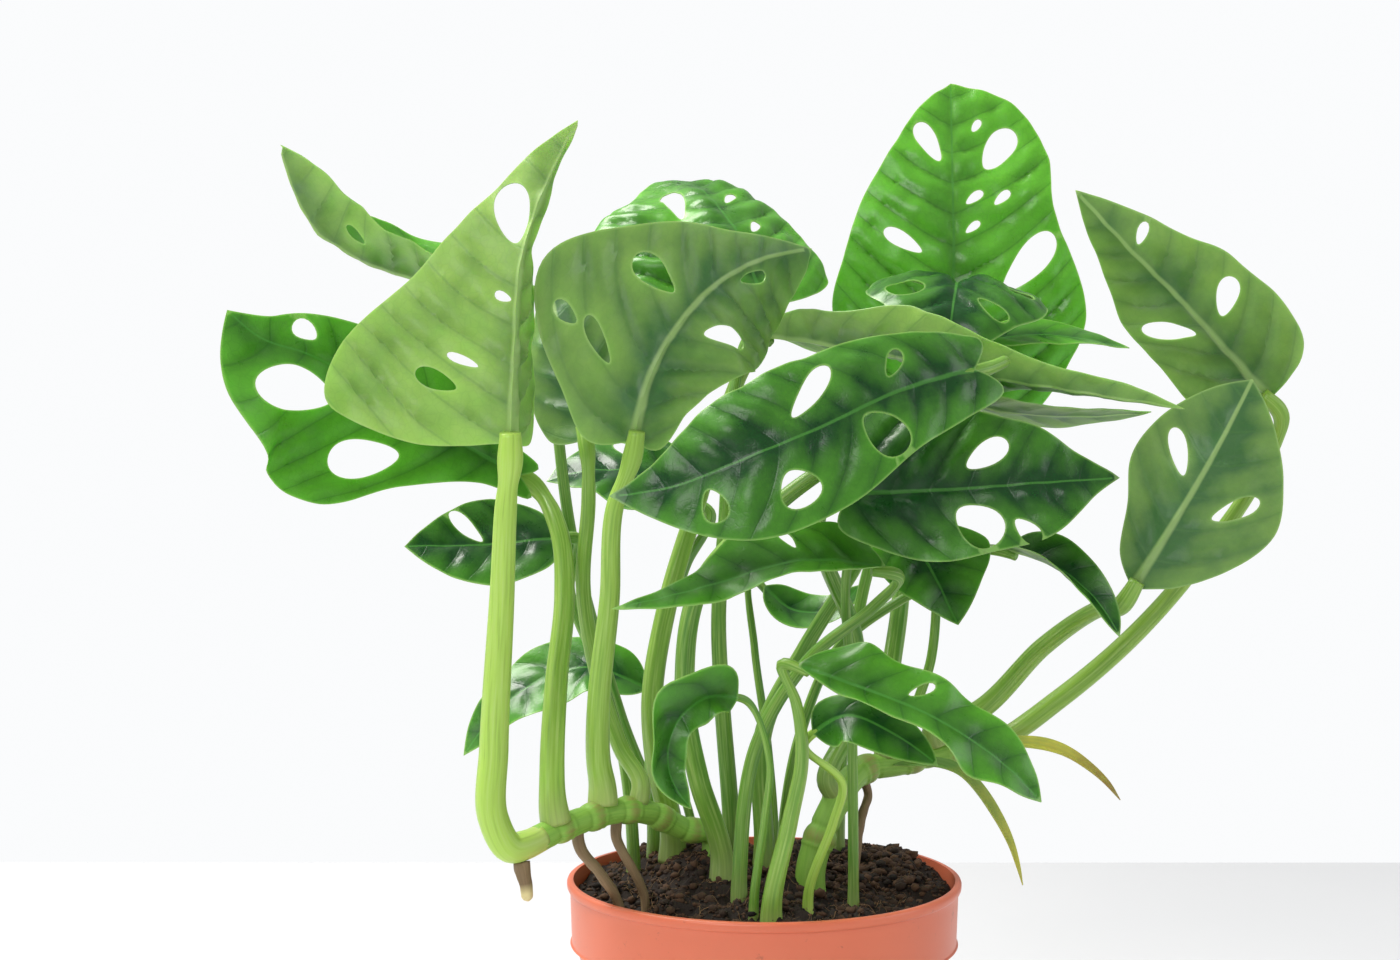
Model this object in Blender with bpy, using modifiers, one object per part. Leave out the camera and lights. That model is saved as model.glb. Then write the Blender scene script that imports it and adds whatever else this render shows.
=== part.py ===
"""Potted monstera with holed leaves in a nursery pot. Metres, +Z up, standing on z = 0, front towards -Y.

Every leaf is one blade: a middle rib in space, half-widths along it, and how far each half folds and curls.
Every stalk, stem and root is a tapering round cord. Nothing crosses: touching pieces stand JOIN apart.
"""
import math
import bpy
import bmesh
import numpy as np
from mathutils import Vector
from mathutils.geometry import delaunay_2d_cdt

MM = 0.001
JOIN = 0.3                 # clearance between pieces that touch on the real plant
UP, DOWN = (0, 0, 1), (0, 0, -1)

# ---- pot (mm) ----
POT_TOP_D = 120.0          # over the lip
POT_H = 105.0
POT_BASE_D = 84.0
POT_WALL = 1.2
LIP_H = 3.0
COLLAR_H = 20.0            # the upright band under the lip
COLLAR_STEP = 2.5          # how far the wall steps in under the collar
FLOOR_T = 1.6
DRAIN_COUNT = 6
DRAIN_D = 9.0
DRAIN_RING = 28.0

# ---- soil (mm) ----
SOIL_LEVEL = POT_H - 5.0
SOIL_HEAPS = (             # x, y, height, spread
    (-14, 0, 13, 18), (38, 20, 7, 13), (-42, -24, -3, 12), (4, -34, 3, 12), (14, 36, 7, 14),
    (-28, 28, 6, 14))

# ---- plant (mm) ----
# The points below are drawn for a pot 120 across and 105 high. The plant rises with the rim, and its feet
# spread with the pot.
WIDER, HIGHER = POT_TOP_D / 120.0, POT_H - 105.0
BLADE_T = 0.9
STATIONS = (0.1, 0.3, 0.5, 0.7, 0.9)      # fractions of the rib where the half-widths are given
MESH_RIM = 7.0             # edge length round a blade
MESH_IN = 12.0             # spacing inside a blade

# rib: points from base to tip. face: way the upper side looks. right, left: half-widths at STATIONS,
# seen from above with the tip up. fold, curl: degrees, (right, left), or (base, tip) pairs for each.
# back: how far the lobes reach behind the base. holes: side, place across (0-1), place along (0-1),
# length, width, degrees the hole leans from straight across. A rib that starts with a stem's name grows
# straight off that stem: the fraction along it and the way out.
LEAVES = {
    "front_left": dict(rib=((-70, -75, 240), (-69, -78, 265), (-67, -75, 291), (-53, -60, 328)),
        face=(0.15, 1, 0.1), right=(52, 46, 26, 14, 5), left=(17, 15, 10, 5, 2), back=(1, 2),
        fold=(5, 82), curl=(-15, 0), holes=((1, 0.38, 0.66, 17, 9.5, 66), (1, 0.42, 0.17, 12, 5, 20),
            (1, 0.3, 0.23, 9, 2.5, 20), (1, 0.12, 0.42, 5, 2.5, 20))),
    "far_left": dict(rib=((-73, -12, 228), (-90, -16, 238), (-107, -22, 249), (-121, -28, 258),
        (-133, -34, 264.5), (-144.5, -38, 268.5), (-153.5, -42, 276.5)), face=(0, -1, 0.3),
        right=(8, 15, 16, 13, 6), left=(8, 21, 38, 38, 16), back=(4, 6), fold=(5, 3),
        holes=((-1, 0.3, 0.73, 24, 13, 80), (-1, 0.56, 0.44, 22, 11, 55), (1, 0.55, 0.76, 7, 5.5, 70))),
    "upper_left": dict(rib=((-75, 20, 285), (-99, 15, 286), (-122, 0, 293), (-134, -10, 302),
        (-142, -20, 325)), face=(0.2, -0.3, 1), right=(12, 19, 21, 17, 8), left=(10, 15, 17, 16, 13),
        fold=((35, 20), (35, 62)), wave=(1, 2.5, 0.1),
        holes=((1, 0.5, 0.4, 11, 5, 30), (-1, 0.45, 0.62, 10, 3, 75))),
    "centre_left": dict(rib=((-38, -60, 240), (-33, -62, 259), (-21, -55, 278), (-7, -40, 289),
        (13, -18, 295)), face=(-0.2, 1, 0.2), right=(22, 41, 24, 10, 3), left=(14, 21, 27, 29, 20),
        back=(2, 2), fold=(5, 5), holes=((1, 0.44, 0.42, 15, 6, -5), (-1, 0.15, 0.72, 13, 3.5, 80),
            (-1, 0.5, 0.47, 19, 6.5, 52), (1, 0.48, 0.22, 13, 3.5, 30), (1, 0.75, 0.24, 8, 3, 10))),
    "second_left": dict(rib=((-52, -24, 239), (-56, -14, 255), (-62, -6, 274), (-66, 2, 290)),
        face=(0.3, 1, 0.1),
        right=(13, 17, 15, 10, 4), left=(13, 17, 15, 10, 4), fold=(10, 10)),
    "top_centre": dict(rib=((0, 12, 280), (-7, 24, 300), (-18, 46, 316), (-31, 78, 322)),
        face=(0.15, -0.6, 0.8),
        right=(28, 28, 24, 17, 8), left=(33, 48, 46, 30, 11), fold=(-8, -8), curl=(-20, -30),
        holes=((-1, 0.28, 0.62, 26, 7, 100), (1, 0.3, 0.35, 8, 3, 50), (1, 0.3, 0.55, 8, 3, 50))),
    "tall": dict(rib=((60, 40, 267), (61, 38, 296), (61, 42, 316), (62, 60, 352)), face=(0, -1, 0.2),
        right=(43, 39, 32, 31, 21), left=(38, 35, 30, 20, 9), back=(24, 18), fold=(2, 4), curl=(-12, -14),
        holes=((-1, 0.42, 0.74, 15, 6.5, 62), (1, 0.3, 0.82, 5, 2.5, 60), (1, 0.5, 0.73, 17, 9, 60),
        (1, 0.22, 0.53, 7, 3, 40),
               (1, 0.5, 0.53, 7, 3, 45), (1, 0.18, 0.42, 6, 2.5, 40), (-1, 0.48, 0.37, 14, 5, 32),
        (1, 0.62, 0.3, 24, 9, 48))),
    "saddle": dict(rib=((60, 16, 284), (58, 0, 286), (55, -16, 278), (52, -25, 262)), face=(0, -0.7, 0.7),
        right=(20, 27, 27, 19, 8), left=(20, 28, 28, 20, 9), back=(4, 4), fold=(12, 12), curl=(-45, -45),
        holes=((1, 0.55, 0.5, 12, 9, 30), (-1, 0.5, 0.62, 12, 6, 40), (-1, 0.7, 0.3, 9, 5, 30))),
    "right_upper": dict(rib=((0, 2, 270), (30, -28, 265), (60, -52, 258), (90, -62, 253),
        (114, -62, 249)), face=(0.2, 0.5, 1), right=(10, 16, 16, 9, 4), left=(10, 15, 15, 8, 3),
        fold=(25, 12), wave=(2.5, 2, 0.3), holes=((1, 0.5, 0.5, 8, 4, 40),)),
    "right_lower": dict(rib=((50, -44, 252), (68, -48, 248), (86, -52, 247), (106, -56, 248)),
        face=(0.1, 0.3, 1),
        right=(7, 11, 11, 9, 4), left=(7, 13, 13, 9, 4), fold=(0, 5)),
    "right_back": dict(rib=((64, 16, 268), (89, 16, 270), (113, 16, 266)), face=(0, -0.35, 1),
        right=(7, 11, 11, 8, 3), left=(7, 11, 11, 8, 3), fold=(5, 5)),
    "centre": dict(rib=((54, -82, 260), (34, -95, 255), (11, -105, 245), (-11, -108, 236),
        (-26, -105, 230), (-43, -100, 227)), face=(0, -1, 0.35), right=(13, 18, 19.5, 17, 6),
        left=(13, 17, 22, 21, 7), back=(6, 6), fold=(3, 3), curl=(-15, -10),
        holes=((-1, 0.5, 0.33, 14, 10, -20), (1, 0.5, 0.44, 18, 5.5, -62), (-1, 0.56, 0.57, 10, 10, -10),
            (-1, 0.48, 0.76, 9, 6, -5), (1, 0.45, 0.22, 9, 4, -50))),
    "right": dict(rib=((22, -68, 226), (46, -70, 227), (74, -70, 229), (96, -64, 230)), face=(0, -1, 0.3),
        right=(16, 20, 18, 15, 4), left=(24, 27, 21, 15, 5), back=(4, 6), fold=(4, 4), curl=(-8, -8),
        holes=((-1, 0.42, 0.5, 13, 6.5, 62), (1, 0.55, 0.45, 14, 11, 50), (1, 0.78, 0.62, 9, 5, 40))),
    "wavy": dict(rib=((32, -60, 205), (8, -72, 208), (-20, -80, 201), (-43, -85, 196)), face=(0, -0.6, 1),
        right=(12, 15, 14, 6, 2), left=(2.5, 5, 7, 5, 3), fold=(10, 0), wave=(2, 2, 0),
        holes=((1, 0.5, 0.35, 7, 3, 20),)),
    "pointing_down": dict(rib=((42, -30, 212), (47, -38, 202), (54, -44, 187)), face=(0.2, -1, 0.4),
        right=(15, 17, 14, 9, 3), left=(15, 20, 18, 12, 5), back=(2, 2), fold=(4, 4)),
    "rolled": dict(rib=((69, -32, 208), (81, -42, 204), (91, -50, 196), (98, -55, 185)),
        face=(0, -0.4, 1),
        right=(6, 9, 8, 6, 3), left=(6, 9, 8, 6, 3), fold=((40, 15), (40, 15)), curl=(20, 20)),
    "left_low": dict(rib=((-62, 12, 208), (-86, 6, 206), (-109, 0, 206)), face=(0, -0.8, 0.8),
        right=(11, 16, 16, 12, 5), left=(11, 17, 17, 13, 6), fold=(5, 5),
        holes=((1, 0.45, 0.6, 14, 5, 40), (-1, 0.4, 0.4, 6, 3, 40))),
    "low_left": dict(rib=((-36, 45, 156), (-58, 45, 163), (-81, 40, 153), (-95, 35, 136)),
        face=(0, -0.6, 0.8),
        right=(9, 13, 13, 9, 4), left=(9, 13, 13, 9, 4), fold=(5, 5), holes=((-1, 0.45, 0.5, 8, 4, 40),)),
    "young": dict(rib=((-9, -58, 168), (-19, -66, 169), (-27, -71, 161), (-28, -73, 150),
        (-22, -74, 140)), face=(0.3, -1, 0.3), right=(8, 11, 12, 9, 4), left=(5, 6, 5, 5, 3),
        fold=(30, 15), curl=(30, 10), wave=(1.5, 3, 0.4)),
    "low_right": dict(rib=((7, -70, 179), (25, -80, 174), (43, -85, 167), (61, -85, 155), (72, -85, 144)),
        face=(0.2, -0.8, 0.7), right=(3, 6, 5, 9, 5), left=(13, 13, 12, 11, 6), fold=(5, 5),
        wave=(2.2, 3.5, 0.2),
        holes=((-1, 0.5, 0.45, 8, 3, 40),)),
    "low_right_under": dict(rib=((12, -57, 158), (21, -62, 164), (33, -66, 160), (46, -68, 151)),
        face=(0.1, -0.8, 0.6),
        right=(7, 9, 9, 7, 3), left=(6, 7, 7, 6, 3), fold=(5, 5)),
    "far_right_top": dict(rib=((148, -20, 251), (119, -30, 280), (101, -35, 297), (88, -35, 311)),
        face=(0.4, 1, 0.5),
        right=(18, 22, 20, 13, 5), left=(18, 22, 20, 13, 5), fold=(5, 5),
        holes=((-1, 0.5, 0.75, 7, 3, 30), (1, 0.5, 0.4, 16, 7, 40), (-1, 0.5, 0.4, 14, 6, 40))),
    "far_right_low": dict(rib=((104, -40, 197), (115, -46, 217), (126, -50, 238), (135, -52, 257)),
        face=(0.3, 1, 0.2),
        right=(8, 14, 20, 18, 9), left=(10, 22, 26, 20, 9), fold=(5, 5),
        holes=((1, 0.45, 0.6, 14, 5, 50), (-1, 0.5, 0.5, 14, 5, 50))),
    "back_dark": dict(rib=((1, 40, 190), (12, 38, 182), (25, 35, 184), (31, 32, 191)),
        face=(0, -0.6, 0.8),
        right=(5, 8, 8, 6, 3), left=(5, 8, 8, 6, 3), fold=(5, 5)),
    "back_left": dict(rib=((-20, 60, 216), (-46, 60, 226), (-70, 60, 223)), face=(0, -0.5, 0.9),
        right=(14, 22, 22, 15, 6), left=(14, 22, 22, 15, 6), fold=(5, 5),
        holes=((1, 0.5, 0.5, 12, 5, 40),)),
    "dry_long": dict(rib=(("right", 0.6, (0.3, -1, 0.1)), (58, -2, 138), (70, -6, 124), (78, -8, 104)),
        face=(0.7, -0.6, 0.4),
        right=(1.5, 2.5, 3, 2.5, 1.2), left=(1.5, 2.5, 3, 2.5, 1.2), fold=(25, 25)),
    "dry_short": dict(rib=(("right", 0.95, (0.5, -0.9, 0.1)), (88, 8, 143), (100, 4, 137),
        (109, 2, 128)), face=(0.4, -0.6, 0.7),
        right=(1.5, 2.8, 3, 2.2, 1.2), left=(1.5, 2.8, 3, 2.2, 1.2), fold=(25, 25)),
}

# Stems: points, then the radius at each end. A first point without a height stands on the soil.
STEMS = {
    "left": (((-16, -2), (-24, -8, 121), (-35, -17, 128), (-46, -27, 130), (-57, -38, 128.5),
        (-66, -47, 126)), 3.4, 3.9),
    "right": (((14, -10), (21, -6, 128), (31, 5, 137), (42, 10, 138), (58, 15, 141), (72, 18, 144)),
        4.6, 3.5),
}

# Stalks: leaf, foot, points between, radius at the foot and at the blade. The foot is a point on the
# soil (x, y), or a stem and the fraction along it.
STALKS = {
    "front_left": (("left", 1.0), ((-73, -53, 125), (-77.5, -56, 134), (-77, -58, 154), (-74, -66, 196),
        (-72, -74, 224)), 4.6, 2.8),
    "far_left": (("left", 0.9), ((-62, -40, 146), (-61, -34, 170), (-59, -28, 193), (-61, -20, 212)),
        3.8, 2.4),
    "second_left": (("left", 0.5), ((-43, -12, 146), (-50, -12, 168), (-54, -18, 195),
        (-52, -26, 222)), 2.6, 2.0),
    "centre_left": (("left", 0.67), ((-49, -32, 146), (-48.5, -40, 165), (-45, -50, 195),
        (-43, -60, 222)), 3.8, 2.2),
    "back_left": ((-34, 16), ((-35, 22, 140), (-33, 34, 168), (-24, 50, 196)), 2.0, 1.6),
    "left_low": ((-40, 6), ((-43, 8, 140), (-52, 12, 170), (-60, 16, 192)), 2.0, 1.6),
    "low_left": ((-22, 26), ((-26, 30, 128), (-33, 38, 142)), 1.5, 1.2),
    "top_centre": ((-28, 6), ((-33, 0, 142), (-34, -2, 160), (-29, -2, 190), (-20, 2, 220),
        (-8, 8, 256)), 3.8, 2.0),
    "centre": ((-13, -16), ((-20, -26, 140), (-24, -42, 170), (-19, -52, 200), (4, -56, 224),
        (34, -58, 244), (54, -62, 257), (63, -72, 262)), 3.4, 1.6),
    "wavy": ((-8, -26), ((-3, -28, 150), (12, -34, 176), (30, -42, 192)), 2.2, 1.5),
    "young": ((-4, -42), ((-1, -46, 132), (0, -52, 150)), 1.4, 0.9),
    "low_right": ((1, -46), ((6, -50, 132), (9, -57, 151), (7, -65, 168)), 3.0, 1.2),
    "low_right_under": ((12, -35), ((19, -40, 130), (21, -46, 142)), 1.5, 1.1),
    "pointing_down": ((0, -4), ((0, 0, 150), (12, 2, 174), (26, -6, 198), (34, -16, 213)), 3.2, 1.6),
    "right_upper": ((-10, 6), ((-13, 2, 160), (-14, -6, 185), (-12, -10, 216), (-10, -2, 248)), 2.6, 1.6),
    "rolled": ((6, 10), ((11, 8, 146), (23, 8, 174), (50, -2, 195)), 1.8, 1.3),
    "back_dark": ((4, 24), ((2, 32, 140), (-2, 40, 170)), 1.5, 1.1),
    "right": (("right", 0.35), ((28, 0, 155), (27, -8, 179), (17, -28, 204), (14, -50, 218)), 3.0, 1.8),
    "tall": (("right", 0.6), ((39, 15, 160), (43, 28, 180), (47, 40, 205), (55, 46, 238)), 3.2, 2.1),
    "right_lower": ((26, -20), ((25, -24, 165), (23, -38, 205), (34, -43, 238)), 1.6, 1.2),
    "right_back": (("right", 0.7), ((52, 13, 170), (54, 10, 210), (58, 12, 245)), 1.6, 1.2),
    "upper_left": ((-32, 26), ((-45, 30, 150), (-60, 34, 205), (-66, 28, 255)), 2.2, 1.6),
    "saddle": ((24, 22), ((26, 26, 150), (32, 28, 190), (44, 30, 230), (52, 34, 262)), 2.0, 1.6),
    "far_right_low": (("right", 0.8), ((66, 10, 154), (84, -5, 176), (97, -28, 190)), 3.5, 2.2),
    "far_right_top": (("right", 1.0), ((92, 15, 157), (112, 5, 177), (130, -8, 202), (147, -14, 230)),
        3.2, 2.0),
}

# Roots: start (a stem and fraction, hanging from its underside, or a point), points between, end
# (x, y on the soil, or a free end), radius at each end.
ROOTS = {
    "stub": ((-70, -51, 120.4), (), (-68, -52.5, 109.5), 2.4, 1.5),
    "left_1": (("left", 0.8), ((-49, -34, 114),), (-43, -30), 1.8, 1.3),
    "left_2": (("left", 0.6), ((-40, -26, 114),), (-36, -24), 1.6, 1.2),
    "right": (("right", 0.5), ((30, 0, 124),), (27, -10), 1.4, 1.2),
}

COLOURS = {
    "pot": ((0.62, 0.17, 0.09), 0.45), "soil": ((0.022, 0.012, 0.008), 0.95),
    "blade": ((0.03, 0.16, 0.025), 0.35),
    "stalk": ((0.25, 0.45, 0.09), 0.4), "stem": ((0.2, 0.36, 0.08), 0.45), "root": ((0.2, 0.13, 0.07), 0.8),
}


def smooth_path(points, count):
    """Evenly spaced points on a smooth path through the given ones, and its length."""
    p = np.asarray(points, float)
    d = np.linalg.norm(np.diff(p, axis=0), axis=1) ** 0.75
    k = np.concatenate([[0], np.cumsum(d)])
    m = np.zeros_like(p)
    for i in range(1, len(p) - 1):
        a, b = k[i] - k[i - 1], k[i + 1] - k[i]
        m[i] = ((p[i] - p[i - 1]) / a * b + (p[i + 1] - p[i]) / b * a) / (a + b)
    if len(p) > 2:
        m[0] = 1.5 * (p[1] - p[0]) / (k[1] - k[0]) - 0.5 * m[1]
        m[-1] = 1.5 * (p[-1] - p[-2]) / (k[-1] - k[-2]) - 0.5 * m[-2]
    else:
        m[:] = (p[1] - p[0]) / k[-1]
    t = np.linspace(0, k[-1], 257)
    i = np.clip(np.searchsorted(k, t, side="right") - 1, 0, len(p) - 2)
    h = (k[i + 1] - k[i])[:, None]
    u = ((t - k[i]) / (k[i + 1] - k[i]))[:, None]
    q = ((2 * u**3 - 3 * u**2 + 1) * p[i] + (u**3 - 2 * u**2 + u) * h * m[i]
         + (3 * u**2 - 2 * u**3) * p[i + 1] + (u**3 - u**2) * h * m[i + 1])
    s = np.concatenate([[0], np.cumsum(np.linalg.norm(np.diff(q, axis=0), axis=1))])
    at = np.linspace(0, s[-1], count)
    return np.stack([np.interp(at, s, q[:, j]) for j in range(p.shape[1])], 1), s[-1]


def unit(v):
    return v / np.maximum(np.linalg.norm(v, axis=-1, keepdims=True), 1e-9)


def pair(v):
    return tuple(v) if isinstance(v, (tuple, list)) else (v, v)


class Blade:
    """One leaf blade as a mapping from a flat drawing (across, along) to space."""

    def __init__(self, rib, face, right, left, fold=(8, 8), curl=(0, 0), wave=(0, 2, 0), back=(0, 0),
                 holes=()):
        self.half = {1: right, -1: left}
        self.bend = {1: (pair(pair(fold)[0]), pair(pair(curl)[0])),
                     -1: (pair(pair(fold)[1]), pair(pair(curl)[1]))}
        self.wave, self.back, self.holes = wave, {1: back[0], -1: back[1]}, holes
        self.rib, self.length = smooth_path(rib, 65)
        self.tangent = unit(np.gradient(self.rib, axis=0))
        up = np.asarray(face, float)
        self.normal = unit(up - (self.tangent @ up)[:, None] * self.tangent)
        self.across = np.cross(self.tangent, self.normal)

    def margin(self, side, count):
        w = self.half[side]
        lobe = [(w[0] * 0.55, -self.back[side])] if self.back[side] else []
        line = [(0, 0)] + lobe + [(a, s * self.length) for a, s in zip(w, STATIONS)] + [(0, self.length)]
        p, _ = smooth_path(line, count)
        p[:, 0] = np.maximum(p[:, 0], 0)
        return p * (side, 1)

    def outline(self, step):
        rim = {}
        for side in (1, -1):
            fine = self.margin(side, 200)
            long = np.linalg.norm(np.diff(fine, axis=0), axis=1).sum()
            rim[side] = self.margin(side, max(6, int(round(long / step)) + 1))
        return np.concatenate([rim[1], rim[-1][::-1][1:-1]])

    def hole(self, side, across, along, long, wide, lean, step):
        m = self.margin(side, 200)[20:]
        reach = np.interp(along * self.length, m[:, 1], np.abs(m[:, 0]))
        n = max(7, int(round(math.pi * (long + wide) / 2 / step)))
        a = np.linspace(0, 2 * math.pi, n, endpoint=False)
        x, y = long / 2 * np.cos(a), wide / 2 * np.sin(a) * (1 + 0.3 * np.cos(a))
        c, s = math.cos(math.radians(lean)), math.sin(math.radians(lean))
        return np.stack([side * (across * reach + x * c - y * s), along * self.length + x * s + y * c], 1)

    def place(self, flat):
        """Points in space and the upper side's direction there, for flat points (across, along)."""
        x, y = flat[:, 0], flat[:, 1]
        s = y / self.length
        at = np.linspace(0, 1, 65)
        rib, tan, nor, acr = (np.stack([np.interp(s, at, a[:, j]) for j in range(3)], 1)
                              for a in (self.rib, self.tangent, self.normal, self.across))
        tan, nor, acr = unit(tan), unit(nor), unit(acr)
        rib = rib + (np.minimum(y, 0) + np.maximum(y - self.length, 0))[:, None] * tan
        side = np.where(x >= 0, 1.0, -1.0)
        r, sc = np.abs(x), np.clip(s, 0, 1)
        ends = np.array([[self.bend[1][k][e] for k in (0, 1) for e in (0, 1)],
                         [self.bend[-1][k][e] for k in (0, 1) for e in (0, 1)]])
        f0, f1, c0, c1 = ends[np.where(x >= 0, 0, 1)].T
        fold = np.radians(f0 * (1 - sc) + f1 * sc)
        curl = np.radians(c0 * (1 - sc) + c1 * sc)
        curl = np.where(np.abs(curl) < 0.001, 0.001, curl)
        wide = np.where(x >= 0, max(self.half[1]), max(self.half[-1]))
        turn = fold + r / wide * curl
        out = wide / curl * (np.sin(turn) - np.sin(fold))
        lift = -wide / curl * (np.cos(turn) - np.cos(fold))
        p = rib + (side * out)[:, None] * acr + lift[:, None] * nor
        n = (-side * np.sin(turn))[:, None] * acr + np.cos(turn)[:, None] * nor
        high, count, start = self.wave
        w = high * np.sin(2 * math.pi * (count * s + start) + np.where(x >= 0, 0, 2.1)) * (r / wide) ** 2
        return p + w[:, None] * n, n


def inside(points, loop):
    hit = np.zeros(len(points), bool)
    for (ax, ay), (bx, by) in zip(loop, np.roll(loop, -1, axis=0)):
        cross = (ay > points[:, 1]) != (by > points[:, 1])
        with np.errstate(divide="ignore", invalid="ignore"):
            hit ^= cross & (points[:, 0] < (bx - ax) * (points[:, 1] - ay) / (by - ay) + ax)
    return hit


def near(points, loop, reach):
    return (np.linalg.norm(points[:, None] - loop[None], axis=2) < reach).any(axis=1)


def flat_mesh(blade, rim_step, in_step):
    """Triangulated flat drawing: outline, holes, a grid of inner points and a line of them on the rib."""
    rim = blade.outline(rim_step)
    holes = [blade.hole(*h, step=rim_step * 0.8) for h in blade.holes]
    rib = np.stack([np.zeros(40), np.linspace(0, blade.length, 40)], 1)
    rib = rib[1:-1][:: max(1, int(round(in_step * 0.8 / (blade.length / 39))))]
    xs = np.arange(-80, 81) * in_step
    ys = np.arange(-20, 80) * in_step * 0.87
    grid = np.array([(x + (j % 2) * in_step / 2, y) for j, y in enumerate(ys) for x in xs])
    grid = grid[inside(grid, rim) & (np.abs(grid[:, 0]) > in_step * 0.45)]
    pts = np.concatenate([rib, grid])
    pts = pts[~near(pts, rim, rim_step * 0.6)]
    for h in holes:
        pts = pts[~inside(pts, h) & ~near(pts, h, rim_step * 0.5)]
    loops = [rim] + holes
    verts = [Vector(p) for loop in loops for p in loop] + [Vector(p) for p in pts]
    edges, start = [], 0
    for loop in loops:
        edges += [(start + i, start + (i + 1) % len(loop)) for i in range(len(loop))]
        start += len(loop)
    got, _, faces, *_ = delaunay_2d_cdt(verts, edges, [], 0, 1e-5)
    got = np.array([tuple(v) for v in got])
    mid = np.array([got[list(f)].mean(axis=0) for f in faces])
    keep = inside(mid, rim)
    for h in holes:
        keep &= ~inside(mid, h)
    faces = [f for f, k in zip(faces, keep) if k]
    used = sorted({i for f in faces for i in f})
    new = {old: i for i, old in enumerate(used)}
    return got[used], [tuple(new[i] for i in f) for f in faces]


def material(name):
    colour, rough = COLOURS[name.split("_")[0]]
    mat = bpy.data.materials.new(name)
    mat.use_nodes = True
    shader = mat.node_tree.nodes["Principled BSDF"]
    shader.inputs["Base Color"].default_value = (*colour, 1)
    shader.inputs["Roughness"].default_value = rough
    return mat


def add(name, mesh, home):
    obj = bpy.data.objects.new(name, mesh)
    obj.data.materials.append(material(name))
    if hasattr(mesh, "polygons"):
        mesh.polygons.foreach_set("use_smooth", [True] * len(mesh.polygons))
    home.objects.link(obj)
    return obj


def mesh_of(name, verts, faces):
    mesh = bpy.data.meshes.new(name)
    mesh.from_pydata([tuple(v) for v in np.asarray(verts) * MM], [], faces)
    mesh.update()
    return mesh


def outward(mesh):
    bm = bmesh.new()
    bm.from_mesh(mesh)
    bmesh.ops.recalc_face_normals(bm, faces=bm.faces)
    bm.to_mesh(mesh)
    bm.free()


def add_blade(name, home, stems):
    shape = dict(LEAVES[name])
    shape["rib"] = tuple(planted(p) for p in shape["rib"])
    if isinstance(shape["rib"][0][0], str):
        stem, fraction, way = shape["rib"][0]
        shape["rib"] = (from_stem(stems[stem], fraction, way, 0.1)[0],) + shape["rib"][1:]
    blade = Blade(**shape)
    flat, faces = flat_mesh(blade, MESH_RIM, MESH_IN)
    space, up = blade.place(flat)
    n = len(space)
    rim = {}
    for f in faces:
        for a, b in zip(f, f[1:] + f[:1]):
            if (b, a) in rim:
                del rim[(b, a)]
            else:
                rim[(a, b)] = True
    verts = np.concatenate([space + up * BLADE_T / 2, space - up * BLADE_T / 2])
    body = list(faces) + [tuple(n + i for i in f[::-1]) for f in faces]
    body += [(b, a, n + a, n + b) for a, b in rim]
    mesh = mesh_of("blade_" + name, verts, body)
    outward(mesh)
    add("blade_" + name, mesh, home)
    return blade


def add_cord(name, points, r0, r1, home, spacing=16.0, end_straight=6.5):
    """A tapering round cord with flat ends, as a curve with a round section."""
    fine, long = smooth_path(points, 400)
    count = max(2, int(round((long - end_straight) / spacing)) + 1)
    at = np.append(np.linspace(0, long - end_straight, count), long)
    if count > 2:
        at = np.insert(at, 1, min(4.0, at[1] * 0.5))
    k = np.linspace(0, long, 400)
    curve = bpy.data.curves.new(name, "CURVE")
    curve.dimensions = "3D"
    curve.bevel_depth = r0 * MM
    curve.bevel_resolution = 1
    curve.use_fill_caps = True
    curve.twist_mode = "MINIMUM"
    line = curve.splines.new("POLY")
    line.points.add(len(at) - 1)
    for point, s in zip(line.points, at):
        point.co = (*(np.interp(s, k, fine[:, j]) * MM for j in range(3)), 1)
        point.radius = 1 + (r1 / r0 - 1) * s / long
    line.use_smooth = True
    return add(name, curve, home)


def wall_radius(z):
    """Outer radius of the pot's tapering wall, without the collar."""
    low, high = POT_BASE_D / 2, POT_TOP_D / 2 - COLLAR_STEP - 0.6
    return low + (high - low) * z / (POT_H - COLLAR_H)


def soil_height(x, y):
    x, y = x / WIDER, y / WIDER
    h = SOIL_LEVEL + sum(a * math.exp(-((x - cx)**2 + (y - cy)**2) / (2 * w * w))
                         for cx, cy, a, w in SOIL_HEAPS)
    return min(h, SOIL_LEVEL + 14)


def stand(x, y, r):
    """Height just clear of the soil for a flat cord end of radius r."""
    ring = [(x + r * math.cos(a), y + r * math.sin(a)) for a in np.linspace(0, 2 * math.pi, 12)] + [(x, y)]
    return max(soil_height(*p) for p in ring) + JOIN


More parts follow.
